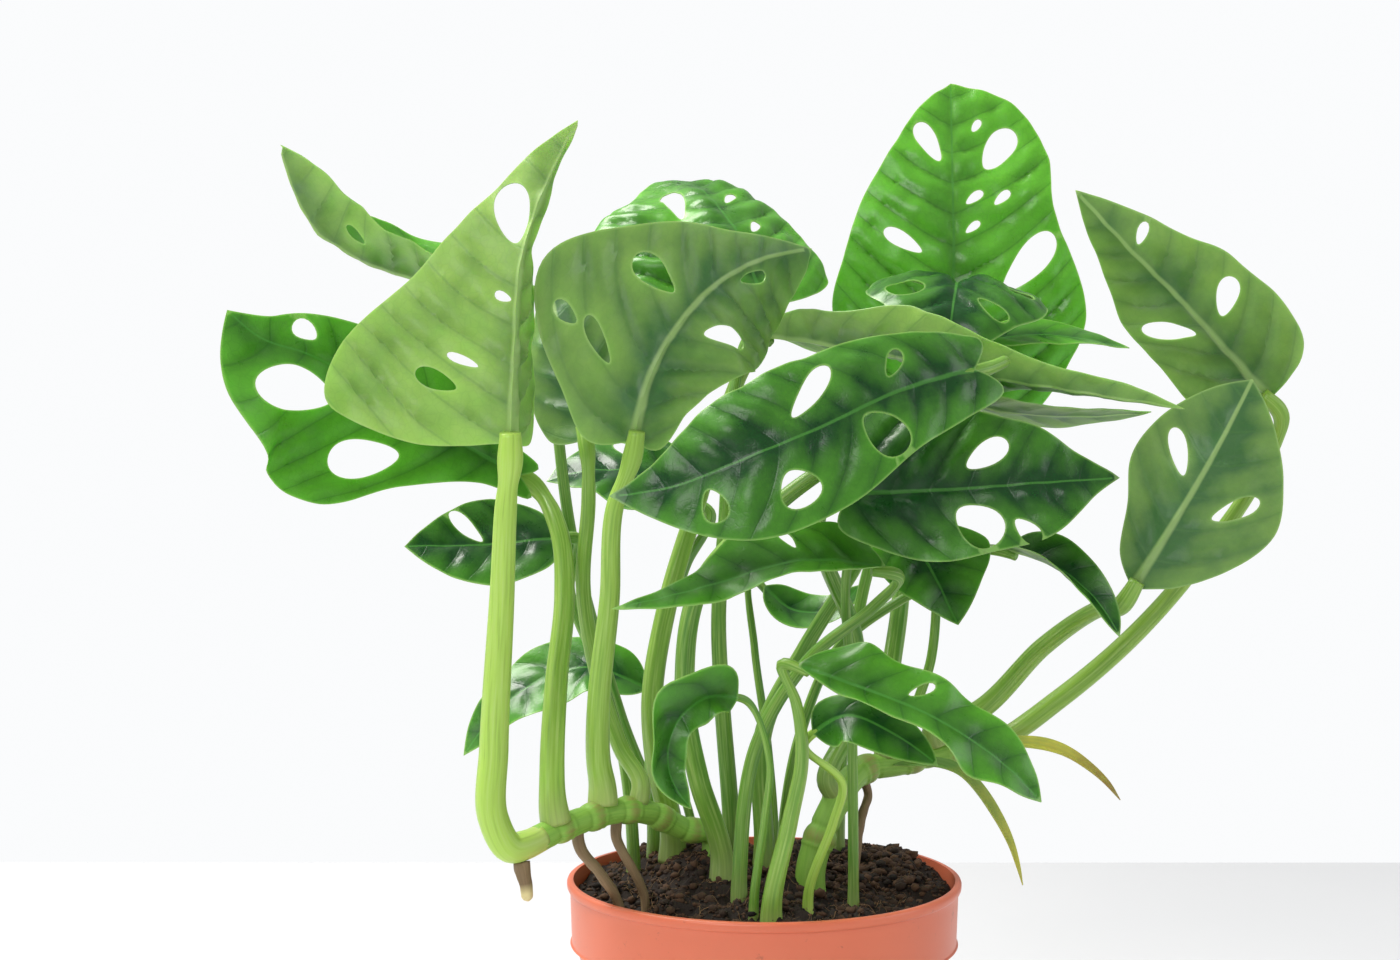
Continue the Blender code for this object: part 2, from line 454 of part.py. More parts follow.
def add_pot(home, tools):
    top, wall, step = POT_TOP_D / 2, POT_WALL, COLLAR_STEP
    shoulder = POT_H - COLLAR_H
    neck = wall_radius(shoulder)
    base = POT_BASE_D / 2
    inner_top = top - 0.9 - wall
    outer = [(top - 0.5, POT_H), (top, POT_H - 0.6), (top, POT_H - LIP_H + 0.4), (top - 0.6, POT_H - LIP_H),
             (top - 0.9, POT_H - LIP_H - 0.3), (neck + step - 0.4, shoulder + 0.6),
             (neck + step - 0.9, shoulder),
             (neck, shoulder - 0.8), (base + 1.2, 1.2), (base, 0), (0, 0)]
    inner = [(0, FLOOR_T), (base - wall - 1.0, FLOOR_T), (base - wall, FLOOR_T + 1.0),
             (neck - wall, shoulder - 1.6), (neck + step - wall - 0.6, shoulder + 1.2),
             (inner_top, POT_H - LIP_H - 0.3), (inner_top, POT_H - 0.5),
             (inner_top + 0.4, POT_H)]
    line = outer + inner
    mesh = mesh_of("pot", [(r, 0, z) for r, z in line], [])
    bm = bmesh.new()
    bm.from_mesh(mesh)
    bm.verts.ensure_lookup_table()
    for i in range(len(line)):
        a, b = i, (i + 1) % len(line)
        if line[a][0] or line[b][0]:
            bm.edges.new((bm.verts[a], bm.verts[b]))
    bm.to_mesh(mesh)
    bm.free()
    pot = add("pot", mesh, home)
    spin = pot.modifiers.new("turned", "SCREW")
    spin.steps = spin.render_steps = 56
    spin.use_merge_vertices = True
    spin.merge_threshold = 0.0001
    spin.use_smooth_shade = True
    verts, faces = [], []
    for k in range(DRAIN_COUNT):
        a = 2 * math.pi * (k + 0.4) / DRAIN_COUNT
        cx, cy, s, n = DRAIN_RING * math.cos(a), DRAIN_RING * math.sin(a), len(verts), 14
        for z in (-2.0, FLOOR_T + 2.0):
            verts += [(cx + DRAIN_D / 2 * math.cos(t), cy + DRAIN_D / 2 * math.sin(t), z)
                      for t in np.linspace(0, 2 * math.pi, n, endpoint=False)]
        faces += [tuple(range(s, s + n))[::-1], tuple(range(s + n, s + 2 * n))]
        faces += [(s + i, s + (i + 1) % n, s + n + (i + 1) % n, s + n + i) for i in range(n)]
    cutter = add("pot_drain_cutter", mesh_of("pot_drain_cutter", verts, faces), tools)
    cutter.hide_render = True
    cutter.display_type = "WIRE"
    cut = pot.modifiers.new("drain holes", "BOOLEAN")
    cut.operation, cut.solver, cut.object = "DIFFERENCE", "EXACT", cutter


def add_soil(home):
    """Peat from the pot's floor to its heaped top."""
    shoulder = POT_H - COLLAR_H
    neck = wall_radius(shoulder)
    base = POT_BASE_D / 2
    side = [(base - POT_WALL - 1.6, FLOOR_T + JOIN), (neck - POT_WALL - JOIN - 0.4, shoulder - 2.2),
            (neck + COLLAR_STEP - POT_WALL - 0.6 - JOIN - 0.6, shoulder + 2.0)]
    edge = POT_TOP_D / 2 - 0.9 - POT_WALL - JOIN - 0.5
    around = 36
    verts, faces = [(0, 0, FLOOR_T + JOIN)], []
    rings = [(r, z) for r, z in side]
    tops = [edge, edge * 0.86, edge * 0.7, edge * 0.54, edge * 0.38, edge * 0.2]
    for k, (r, z) in enumerate(rings + [(t, None) for t in tops]):
        for i in range(around):
            a = 2 * math.pi * i / around
            x, y = r * math.cos(a), r * math.sin(a)
            verts.append((x, y, soil_height(x, y) if z is None else z))
    verts.append((0, 0, soil_height(0, 0)))
    count = len(rings) + len(tops)
    for i in range(around):
        j = (i + 1) % around
        faces.append((0, 1 + j, 1 + i))
        for k in range(count - 1):
            a, b = 1 + k * around, 1 + (k + 1) * around
            faces.append((a + i, a + j, b + j, b + i))
        last = 1 + (count - 1) * around
        faces.append((last + i, last + j, len(verts) - 1))
    mesh = mesh_of("soil", verts, faces)
    outward(mesh)
    add("soil", mesh, home)


def planted(p):
    """A drawn point in this pot: a foot (x, y) spreads with it, any other point rises with it."""
    if isinstance(p[0], str):
        return p
    return (p[0] * WIDER, p[1] * WIDER) if len(p) == 2 else (p[0], p[1], p[2] + HIGHER)


def from_stem(stem, fraction, way, extra=0.0):
    """Two points leaving a stem: square off it the way given, or straight on from its end."""
    path, r0, r1 = stem
    k = fraction * (len(path) - 1)
    i = min(int(k), len(path) - 2)
    p = path[i] * (1 - k + i) + path[i + 1] * (k - i)
    along = unit(path[i + 1] - path[i])
    if fraction >= 1:
        return [tuple(p + along * (JOIN + 0.1)), tuple(p + along * 4)]
    way = np.asarray(way, float)
    out = unit(way - (way @ along) * along)
    start = r0 + (r1 - r0) * fraction + JOIN + extra
    return [tuple(p + out * start), tuple(p + out * (start + 4))]


def from_soil(x, y, r):
    z = stand(x, y, r)
    return [(x, y, z), (x, y, z + 4)]


def build():
    for obj in list(bpy.data.objects):
        bpy.data.objects.remove(obj)
    scene = bpy.context.scene
    home = bpy.data.collections.new("potted_monstera")
    tools = bpy.data.collections.new("cutters")
    scene.collection.children.link(home)
    scene.collection.children.link(tools)
    add_pot(home, tools)
    add_soil(home)
    stems = {}
    for name, (points, r0, r1) in STEMS.items():
        points = [planted(p) for p in points]
        line = from_soil(*points[0], r0) + points[1:]
        add_cord("stem_" + name, line, r0, r1, home, spacing=9.0)
        stems[name] = (smooth_path(line, 80)[0], r0, r1)
    for name in LEAVES:
        blade = add_blade(name, home, stems)
        if name not in STALKS:
            continue
        foot, between, r0, r1 = STALKS[name]
        foot, between = planted(foot), [planted(p) for p in between]
        start = from_stem(stems[foot[0]], foot[1], UP) if isinstance(foot[0], str) else from_soil(*foot, r0)
        root, tan, nor = blade.rib[0], blade.tangent[0], blade.normal[0]
        under = root - nor * (r1 + BLADE_T / 2 + JOIN)
        add_cord("stalk_" + name, start + between + [tuple(under - tan * 5), tuple(under + tan * 1.5)],
                 r0, r1, home, spacing=8.0 if foot[1] == 1.0 else 15.0)
    for name, (start, between, end, r0, r1) in ROOTS.items():
        start, between, end = planted(start), [planted(p) for p in between], planted(end)
        first = from_stem(stems[start[0]], start[1], DOWN) if isinstance(start[0], str) else [start]
        last = from_soil(*end, r1)[::-1] if len(end) == 2 else [end]
        add_cord("root_" + name, first + between + last, r0, r1, home, spacing=8.0, end_straight=4.0)


build()
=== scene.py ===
"""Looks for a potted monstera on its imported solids: waxy leaves, streaked stalks, peat, a moulded pot."""
import math
import random
import bmesh
import bpy
import numpy as np
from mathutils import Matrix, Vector, noise
from mathutils.geometry import delaunay_2d_cdt


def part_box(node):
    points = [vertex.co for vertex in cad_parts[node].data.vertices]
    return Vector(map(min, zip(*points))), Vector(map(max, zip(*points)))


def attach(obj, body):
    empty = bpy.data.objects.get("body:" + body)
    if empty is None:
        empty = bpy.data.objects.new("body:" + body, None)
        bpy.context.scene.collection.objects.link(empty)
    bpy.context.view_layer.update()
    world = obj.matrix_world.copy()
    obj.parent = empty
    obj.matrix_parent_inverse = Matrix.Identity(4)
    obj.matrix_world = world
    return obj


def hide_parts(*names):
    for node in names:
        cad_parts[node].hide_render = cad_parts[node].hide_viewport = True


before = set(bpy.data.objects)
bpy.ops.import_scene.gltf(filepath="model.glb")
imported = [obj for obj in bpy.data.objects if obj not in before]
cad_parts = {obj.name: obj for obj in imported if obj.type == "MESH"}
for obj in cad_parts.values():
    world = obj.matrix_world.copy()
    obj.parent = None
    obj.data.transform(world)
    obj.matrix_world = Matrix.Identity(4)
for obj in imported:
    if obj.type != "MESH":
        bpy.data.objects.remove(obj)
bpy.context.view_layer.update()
MM = 0.001

# ---- sizes shared with the solids (mm) ----
POT_HIGH = np.array(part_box("pot")[1]) / MM
POT_R = POT_HIGH[0]
POT_H = POT_HIGH[2]
POT_BASE_R = 42.0
POT_WALL, FLOOR_T = 1.2, 1.6
LIP_H, COLLAR_H, COLLAR_STEP = 3.0, 20.0, 2.5
LIP_OVER = 0.9             # how far the lip stands out past the collar
DRAIN_COUNT, DRAIN_R, DRAIN_RING = 6, 4.5, 28.0
SOIL_LEVEL, SOIL_RISE = 100.0, 14  # the level top, and the most that a heap rises over it
SOIL_HEAPS = (             # x, y, height, spread
    (-14, 0, 13, 18), (38, 20, 7, 13), (-42, -24, -3, 12), (4, -34, 3, 12), (14, 36, 7, 14),
    (-28, 28, 6, 14))
JOIN = 0.3
STATIONS = (0.1, 0.3, 0.5, 0.7, 0.9)   # where along the rib a blade's half-widths are given
UP, DOWN = (0, 0, 1), (0, 0, -1)

LOOSE_HEAP = ((34, 11), (20, 10))      # loose crumbs gather here: x, y, each as a middle and a spread
FIBRE_STARTS, FIBRE_ENDS = 48, 54      # how far out fibres start, and may reach

# ---- what the leaf is like close up (mm) ----
LEAF_T = 0.55              # blade thickness between veins
LEAF_MESH = 1.6            # spacing inside a blade
LEAF_RIM_MESH = 1.5        # spacing along its edge
VEIN_SPACING = 10.5        # between side veins at the midrib
VEIN_DEPTH, VEIN_WIDE = 0.75, 1.5      # how far they sink into the upper side, and how broad the dip is
PUCKER = 1.3               # how far the blade swells between them
RIB_GROOVE, RIB_RIDGE, RIB_WIDE = 0.5, 1.5, 1.3    # the midrib: sunk above, raised below, and its width
FLESH_SPREAD, FLESH_DEPTH = (0.9, 1.6, 0.3), 0.0012  # how light spreads in green tissue, and its depth (m)

# rib: points from base to tip. face: way the upper side looks. right, left: half-widths at STATIONS,
# seen from above with the tip up. fold, curl: degrees, (right, left), or (base, tip) pairs for each.
# back: how far the lobes reach behind the base. holes: side, place across (0-1), place along (0-1),
# length, width, degrees the hole leans from straight across. A rib that starts with a stem's name grows
# straight off that stem: the fraction along it and the way out.
LEAVES = {
    "front_left": dict(rib=((-70, -75, 240), (-69, -78, 265), (-67, -75, 291), (-53, -60, 328)),
        face=(0.15, 1, 0.1), right=(52, 46, 26, 14, 5), left=(17, 15, 10, 5, 2), back=(1, 2),
        fold=(5, 82), curl=(-15, 0), holes=((1, 0.38, 0.66, 17, 9.5, 66), (1, 0.42, 0.17, 12, 5, 20),
            (1, 0.3, 0.23, 9, 2.5, 20), (1, 0.12, 0.42, 5, 2.5, 20))),
    "far_left": dict(rib=((-73, -12, 228), (-90, -16, 238), (-107, -22, 249), (-121, -28, 258),
        (-133, -34, 264.5), (-144.5, -38, 268.5), (-153.5, -42, 276.5)), face=(0, -1, 0.3),
        right=(8, 15, 16, 13, 6), left=(8, 21, 38, 38, 16), back=(4, 6), fold=(5, 3),
        holes=((-1, 0.3, 0.73, 24, 13, 80), (-1, 0.56, 0.44, 22, 11, 55), (1, 0.55, 0.76, 7, 5.5, 70))),
    "upper_left": dict(rib=((-75, 20, 285), (-99, 15, 286), (-122, 0, 293), (-134, -10, 302),
        (-142, -20, 325)), face=(0.2, -0.3, 1), right=(12, 19, 21, 17, 8), left=(10, 15, 17, 16, 13),
        fold=((35, 20), (35, 62)), wave=(1, 2.5, 0.1),
        holes=((1, 0.5, 0.4, 11, 5, 30), (-1, 0.45, 0.62, 10, 3, 75))),
    "centre_left": dict(rib=((-38, -60, 240), (-33, -62, 259), (-21, -55, 278), (-7, -40, 289),
        (13, -18, 295)), face=(-0.2, 1, 0.2), right=(22, 41, 24, 10, 3), left=(14, 21, 27, 29, 20),
        back=(2, 2), fold=(5, 5), holes=((1, 0.44, 0.42, 15, 6, -5), (-1, 0.15, 0.72, 13, 3.5, 80),
            (-1, 0.5, 0.47, 19, 6.5, 52), (1, 0.48, 0.22, 13, 3.5, 30), (1, 0.75, 0.24, 8, 3, 10))),
    "second_left": dict(rib=((-52, -24, 239), (-56, -14, 255), (-62, -6, 274), (-66, 2, 290)),
        face=(0.3, 1, 0.1),
        right=(13, 17, 15, 10, 4), left=(13, 17, 15, 10, 4), fold=(10, 10)),
    "top_centre": dict(rib=((0, 12, 280), (-7, 24, 300), (-18, 46, 316), (-31, 78, 322)),
        face=(0.15, -0.6, 0.8),
        right=(28, 28, 24, 17, 8), left=(33, 48, 46, 30, 11), fold=(-8, -8), curl=(-20, -30),
        holes=((-1, 0.28, 0.62, 26, 7, 100), (1, 0.3, 0.35, 8, 3, 50), (1, 0.3, 0.55, 8, 3, 50))),
    "tall": dict(rib=((60, 40, 267), (61, 38, 296), (61, 42, 316), (62, 60, 352)), face=(0, -1, 0.2),
        right=(43, 39, 32, 31, 21), left=(38, 35, 30, 20, 9), back=(24, 18), fold=(2, 4), curl=(-12, -14),
        holes=((-1, 0.42, 0.74, 15, 6.5, 62), (1, 0.3, 0.82, 5, 2.5, 60), (1, 0.5, 0.73, 17, 9, 60),
        (1, 0.22, 0.53, 7, 3, 40),
               (1, 0.5, 0.53, 7, 3, 45), (1, 0.18, 0.42, 6, 2.5, 40), (-1, 0.48, 0.37, 14, 5, 32),
        (1, 0.62, 0.3, 24, 9, 48))),
    "saddle": dict(rib=((60, 16, 284), (58, 0, 286), (55, -16, 278), (52, -25, 262)), face=(0, -0.7, 0.7),
        right=(20, 27, 27, 19, 8), left=(20, 28, 28, 20, 9), back=(4, 4), fold=(12, 12), curl=(-45, -45),
        holes=((1, 0.55, 0.5, 12, 9, 30), (-1, 0.5, 0.62, 12, 6, 40), (-1, 0.7, 0.3, 9, 5, 30))),
    "right_upper": dict(rib=((0, 2, 270), (30, -28, 265), (60, -52, 258), (90, -62, 253),
        (114, -62, 249)), face=(0.2, 0.5, 1), right=(10, 16, 16, 9, 4), left=(10, 15, 15, 8, 3),
        fold=(25, 12), wave=(2.5, 2, 0.3), holes=((1, 0.5, 0.5, 8, 4, 40),)),
    "right_lower": dict(rib=((50, -44, 252), (68, -48, 248), (86, -52, 247), (106, -56, 248)),
        face=(0.1, 0.3, 1),
        right=(7, 11, 11, 9, 4), left=(7, 13, 13, 9, 4), fold=(0, 5)),
    "right_back": dict(rib=((64, 16, 268), (89, 16, 270), (113, 16, 266)), face=(0, -0.35, 1),
        right=(7, 11, 11, 8, 3), left=(7, 11, 11, 8, 3), fold=(5, 5)),
    "centre": dict(rib=((54, -82, 260), (34, -95, 255), (11, -105, 245), (-11, -108, 236),
        (-26, -105, 230), (-43, -100, 227)), face=(0, -1, 0.35), right=(13, 18, 19.5, 17, 6),
        left=(13, 17, 22, 21, 7), back=(6, 6), fold=(3, 3), curl=(-15, -10),
        holes=((-1, 0.5, 0.33, 14, 10, -20), (1, 0.5, 0.44, 18, 5.5, -62), (-1, 0.56, 0.57, 10, 10, -10),
            (-1, 0.48, 0.76, 9, 6, -5), (1, 0.45, 0.22, 9, 4, -50))),
    "right": dict(rib=((22, -68, 226), (46, -70, 227), (74, -70, 229), (96, -64, 230)), face=(0, -1, 0.3),
        right=(16, 20, 18, 15, 4), left=(24, 27, 21, 15, 5), back=(4, 6), fold=(4, 4), curl=(-8, -8),
        holes=((-1, 0.42, 0.5, 13, 6.5, 62), (1, 0.55, 0.45, 14, 11, 50), (1, 0.78, 0.62, 9, 5, 40))),
    "wavy": dict(rib=((32, -60, 205), (8, -72, 208), (-20, -80, 201), (-43, -85, 196)), face=(0, -0.6, 1),
        right=(12, 15, 14, 6, 2), left=(2.5, 5, 7, 5, 3), fold=(10, 0), wave=(2, 2, 0),
        holes=((1, 0.5, 0.35, 7, 3, 20),)),
    "pointing_down": dict(rib=((42, -30, 212), (47, -38, 202), (54, -44, 187)), face=(0.2, -1, 0.4),
        right=(15, 17, 14, 9, 3), left=(15, 20, 18, 12, 5), back=(2, 2), fold=(4, 4)),
    "rolled": dict(rib=((69, -32, 208), (81, -42, 204), (91, -50, 196), (98, -55, 185)),
        face=(0, -0.4, 1),
        right=(6, 9, 8, 6, 3), left=(6, 9, 8, 6, 3), fold=((40, 15), (40, 15)), curl=(20, 20)),
    "left_low": dict(rib=((-62, 12, 208), (-86, 6, 206), (-109, 0, 206)), face=(0, -0.8, 0.8),
        right=(11, 16, 16, 12, 5), left=(11, 17, 17, 13, 6), fold=(5, 5),
        holes=((1, 0.45, 0.6, 14, 5, 40), (-1, 0.4, 0.4, 6, 3, 40))),
    "low_left": dict(rib=((-36, 45, 156), (-58, 45, 163), (-81, 40, 153), (-95, 35, 136)),
        face=(0, -0.6, 0.8),
        right=(9, 13, 13, 9, 4), left=(9, 13, 13, 9, 4), fold=(5, 5), holes=((-1, 0.45, 0.5, 8, 4, 40),)),
    "young": dict(rib=((-9, -58, 168), (-19, -66, 169), (-27, -71, 161), (-28, -73, 150),
        (-22, -74, 140)), face=(0.3, -1, 0.3), right=(8, 11, 12, 9, 4), left=(5, 6, 5, 5, 3),
        fold=(30, 15), curl=(30, 10), wave=(1.5, 3, 0.4)),
    "low_right": dict(rib=((7, -70, 179), (25, -80, 174), (43, -85, 167), (61, -85, 155), (72, -85, 144)),
        face=(0.2, -0.8, 0.7), right=(3, 6, 5, 9, 5), left=(13, 13, 12, 11, 6), fold=(5, 5),
        wave=(2.2, 3.5, 0.2),
        holes=((-1, 0.5, 0.45, 8, 3, 40),)),
    "low_right_under": dict(rib=((12, -57, 158), (21, -62, 164), (33, -66, 160), (46, -68, 151)),
        face=(0.1, -0.8, 0.6),
        right=(7, 9, 9, 7, 3), left=(6, 7, 7, 6, 3), fold=(5, 5)),
    "far_right_top": dict(rib=((148, -20, 251), (119, -30, 280), (101, -35, 297), (88, -35, 311)),
        face=(0.4, 1, 0.5),
        right=(18, 22, 20, 13, 5), left=(18, 22, 20, 13, 5), fold=(5, 5),
        holes=((-1, 0.5, 0.75, 7, 3, 30), (1, 0.5, 0.4, 16, 7, 40), (-1, 0.5, 0.4, 14, 6, 40))),
    "far_right_low": dict(rib=((104, -40, 197), (115, -46, 217), (126, -50, 238), (135, -52, 257)),
        face=(0.3, 1, 0.2),
        right=(8, 14, 20, 18, 9), left=(10, 22, 26, 20, 9), fold=(5, 5),
        holes=((1, 0.45, 0.6, 14, 5, 50), (-1, 0.5, 0.5, 14, 5, 50))),
    "back_dark": dict(rib=((1, 40, 190), (12, 38, 182), (25, 35, 184), (31, 32, 191)),
        face=(0, -0.6, 0.8),
        right=(5, 8, 8, 6, 3), left=(5, 8, 8, 6, 3), fold=(5, 5)),
    "back_left": dict(rib=((-20, 60, 216), (-46, 60, 226), (-70, 60, 223)), face=(0, -0.5, 0.9),
        right=(14, 22, 22, 15, 6), left=(14, 22, 22, 15, 6), fold=(5, 5),
        holes=((1, 0.5, 0.5, 12, 5, 40),)),
    "dry_long": dict(rib=(("right", 0.6, (0.3, -1, 0.1)), (58, -2, 138), (70, -6, 124), (78, -8, 104)),
        face=(0.7, -0.6, 0.4),
        right=(1.5, 2.5, 3, 2.5, 1.2), left=(1.5, 2.5, 3, 2.5, 1.2), fold=(25, 25)),
    "dry_short": dict(rib=(("right", 0.95, (0.5, -0.9, 0.1)), (88, 8, 143), (100, 4, 137),
        (109, 2, 128)), face=(0.4, -0.6, 0.7),
        right=(1.5, 2.8, 3, 2.2, 1.2), left=(1.5, 2.8, 3, 2.2, 1.2), fold=(25, 25)),
}

# Stems: points, then the radius at each end. A first point without a height stands on the soil.
STEMS = {
    "left": (((-16, -2), (-24, -8, 121), (-35, -17, 128), (-46, -27, 130), (-57, -38, 128.5),
        (-66, -47, 126)), 3.4, 3.9),
    "right": (((14, -10), (21, -6, 128), (31, 5, 137), (42, 10, 138), (58, 15, 141), (72, 18, 144)),
        4.6, 3.5),
}
# Where along each stem its joints are.
JOINTS = {"left": (0.22, 0.38, 0.55, 0.72, 0.88), "right": (0.2, 0.36, 0.52, 0.7, 0.85)}

# Stalks: leaf, foot, points between, radius at the foot and at the blade. The foot is a point on the
# soil (x, y), or a stem and the fraction along it.
STALKS = {
    "front_left": (("left", 1.0), ((-73, -53, 125), (-77.5, -56, 134), (-77, -58, 154), (-74, -66, 196),
        (-72, -74, 224)), 4.6, 2.8),
    "far_left": (("left", 0.9), ((-62, -40, 146), (-61, -34, 170), (-59, -28, 193), (-61, -20, 212)),
        3.8, 2.4),
    "second_left": (("left", 0.5), ((-43, -12, 146), (-50, -12, 168), (-54, -18, 195),
        (-52, -26, 222)), 2.6, 2.0),
    "centre_left": (("left", 0.67), ((-49, -32, 146), (-48.5, -40, 165), (-45, -50, 195),
        (-43, -60, 222)), 3.8, 2.2),
    "back_left": ((-34, 16), ((-35, 22, 140), (-33, 34, 168), (-24, 50, 196)), 2.0, 1.6),
    "left_low": ((-40, 6), ((-43, 8, 140), (-52, 12, 170), (-60, 16, 192)), 2.0, 1.6),
    "low_left": ((-22, 26), ((-26, 30, 128), (-33, 38, 142)), 1.5, 1.2),
    "top_centre": ((-28, 6), ((-33, 0, 142), (-34, -2, 160), (-29, -2, 190), (-20, 2, 220),
        (-8, 8, 256)), 3.8, 2.0),
    "centre": ((-13, -16), ((-20, -26, 140), (-24, -42, 170), (-19, -52, 200), (4, -56, 224),
        (34, -58, 244), (54, -62, 257), (63, -72, 262)), 3.4, 1.6),
    "wavy": ((-8, -26), ((-3, -28, 150), (12, -34, 176), (30, -42, 192)), 2.2, 1.5),
    "young": ((-4, -42), ((-1, -46, 132), (0, -52, 150)), 1.4, 0.9),
    "low_right": ((1, -46), ((6, -50, 132), (9, -57, 151), (7, -65, 168)), 3.0, 1.2),
    "low_right_under": ((12, -35), ((19, -40, 130), (21, -46, 142)), 1.5, 1.1),
    "pointing_down": ((0, -4), ((0, 0, 150), (12, 2, 174), (26, -6, 198), (34, -16, 213)), 3.2, 1.6),
    "right_upper": ((-10, 6), ((-13, 2, 160), (-14, -6, 185), (-12, -10, 216), (-10, -2, 248)), 2.6, 1.6),
    "rolled": ((6, 10), ((11, 8, 146), (23, 8, 174), (50, -2, 195)), 1.8, 1.3),
    "back_dark": ((4, 24), ((2, 32, 140), (-2, 40, 170)), 1.5, 1.1),
    "right": (("right", 0.35), ((28, 0, 155), (27, -8, 179), (17, -28, 204), (14, -50, 218)), 3.0, 1.8),
    "tall": (("right", 0.6), ((39, 15, 160), (43, 28, 180), (47, 40, 205), (55, 46, 238)), 3.2, 2.1),
    "right_lower": ((26, -20), ((25, -24, 165), (23, -38, 205), (34, -43, 238)), 1.6, 1.2),
    "right_back": (("right", 0.7), ((52, 13, 170), (54, 10, 210), (58, 12, 245)), 1.6, 1.2),
    "upper_left": ((-32, 26), ((-45, 30, 150), (-60, 34, 205), (-66, 28, 255)), 2.2, 1.6),
    "saddle": ((24, 22), ((26, 26, 150), (32, 28, 190), (44, 30, 230), (52, 34, 262)), 2.0, 1.6),
    "far_right_low": (("right", 0.8), ((66, 10, 154), (84, -5, 176), (97, -28, 190)), 3.5, 2.2),
    "far_right_top": (("right", 1.0), ((92, 15, 157), (112, 5, 177), (130, -8, 202), (147, -14, 230)),
        3.2, 2.0),
}

# Roots: start (a stem and fraction, hanging from its underside, or a point), points between, end
# (x, y on the soil, or a free end), radius at each end.
ROOTS = {
    "stub": ((-70, -51, 120.4), (), (-68, -52.5, 109.5), 2.4, 1.5),
    "left_1": (("left", 0.8), ((-49, -34, 114),), (-43, -30), 1.8, 1.3),
    "left_2": (("left", 0.6), ((-40, -26, 114),), (-36, -24), 1.6, 1.2),
    "right": (("right", 0.5), ((30, 0, 124),), (27, -10), 1.4, 1.2),
}
# How pale each leaf is, from 0, old and deep green, to 1, young or thin and lime. Others are DEEP.
DEEP = 0.15
PALE = {"front_left": 0.66, "far_left": 0.5, "upper_left": 0.5, "centre_left": 0.22, "top_centre": 0.45,
        "tall": 0.75, "right_upper": 0.45, "right_lower": 0.3, "far_right_top": 0.35,
        "far_right_low": 0.1, "wavy": 0.45, "low_left": 0.3, "right_back": 0.4, "pointing_down": 0.3,
        "dry_long": 0.35, "dry_short": 0.8, "back_dark": 0.3, "young": 0.35, "centre": 0.16,
        "right": 0.1, "back_left": 0.05, "left_low": 0.1, "low_right": 0.45, "low_right_under": 0.2,
        "saddle": 0.05, "second_left": 0.1}
STALK_PALE = {"front_left": 0.95, "far_left": 0.6, "centre_left": 0.65, "second_left": 0.5,
              "far_right_low": 0.45, "far_right_top": 0.55, "low_right_under": 0.8, "low_right": 0.4,
              "top_centre": 0.5}

STALK_GREEN = 0.25         # how pale the other stalks are


# ---------------------------------------------------------------- shapes
def unit(v):
    return v / np.maximum(np.linalg.norm(v, axis=-1, keepdims=True), 1e-9)


def pair(v):
    return tuple(v) if isinstance(v, (tuple, list)) else (v, v)


def smooth_path(points, count):
    """Evenly spaced points on a smooth path through the given ones, and its length."""
    p = np.asarray(points, float)
    d = np.linalg.norm(np.diff(p, axis=0), axis=1) ** 0.75
    k = np.concatenate([[0], np.cumsum(d)])
    m = np.zeros_like(p)
    for i in range(1, len(p) - 1):
        a, b = k[i] - k[i - 1], k[i + 1] - k[i]
        m[i] = ((p[i] - p[i - 1]) / a * b + (p[i + 1] - p[i]) / b * a) / (a + b)
    if len(p) > 2:
        m[0] = 1.5 * (p[1] - p[0]) / (k[1] - k[0]) - 0.5 * m[1]
        m[-1] = 1.5 * (p[-1] - p[-2]) / (k[-1] - k[-2]) - 0.5 * m[-2]
    else:
        m[:] = (p[1] - p[0]) / k[-1]
    t = np.linspace(0, k[-1], 513)
    i = np.clip(np.searchsorted(k, t, side="right") - 1, 0, len(p) - 2)
    h = (k[i + 1] - k[i])[:, None]
    u = ((t - k[i]) / (k[i + 1] - k[i]))[:, None]
    q = ((2 * u**3 - 3 * u**2 + 1) * p[i] + (u**3 - 2 * u**2 + u) * h * m[i]
         + (3 * u**2 - 2 * u**3) * p[i + 1] + (u**3 - u**2) * h * m[i + 1])
    s = np.concatenate([[0], np.cumsum(np.linalg.norm(np.diff(q, axis=0), axis=1))])
    at = np.linspace(0, s[-1], count)
    return np.stack([np.interp(at, s, q[:, j]) for j in range(p.shape[1])], 1), s[-1]


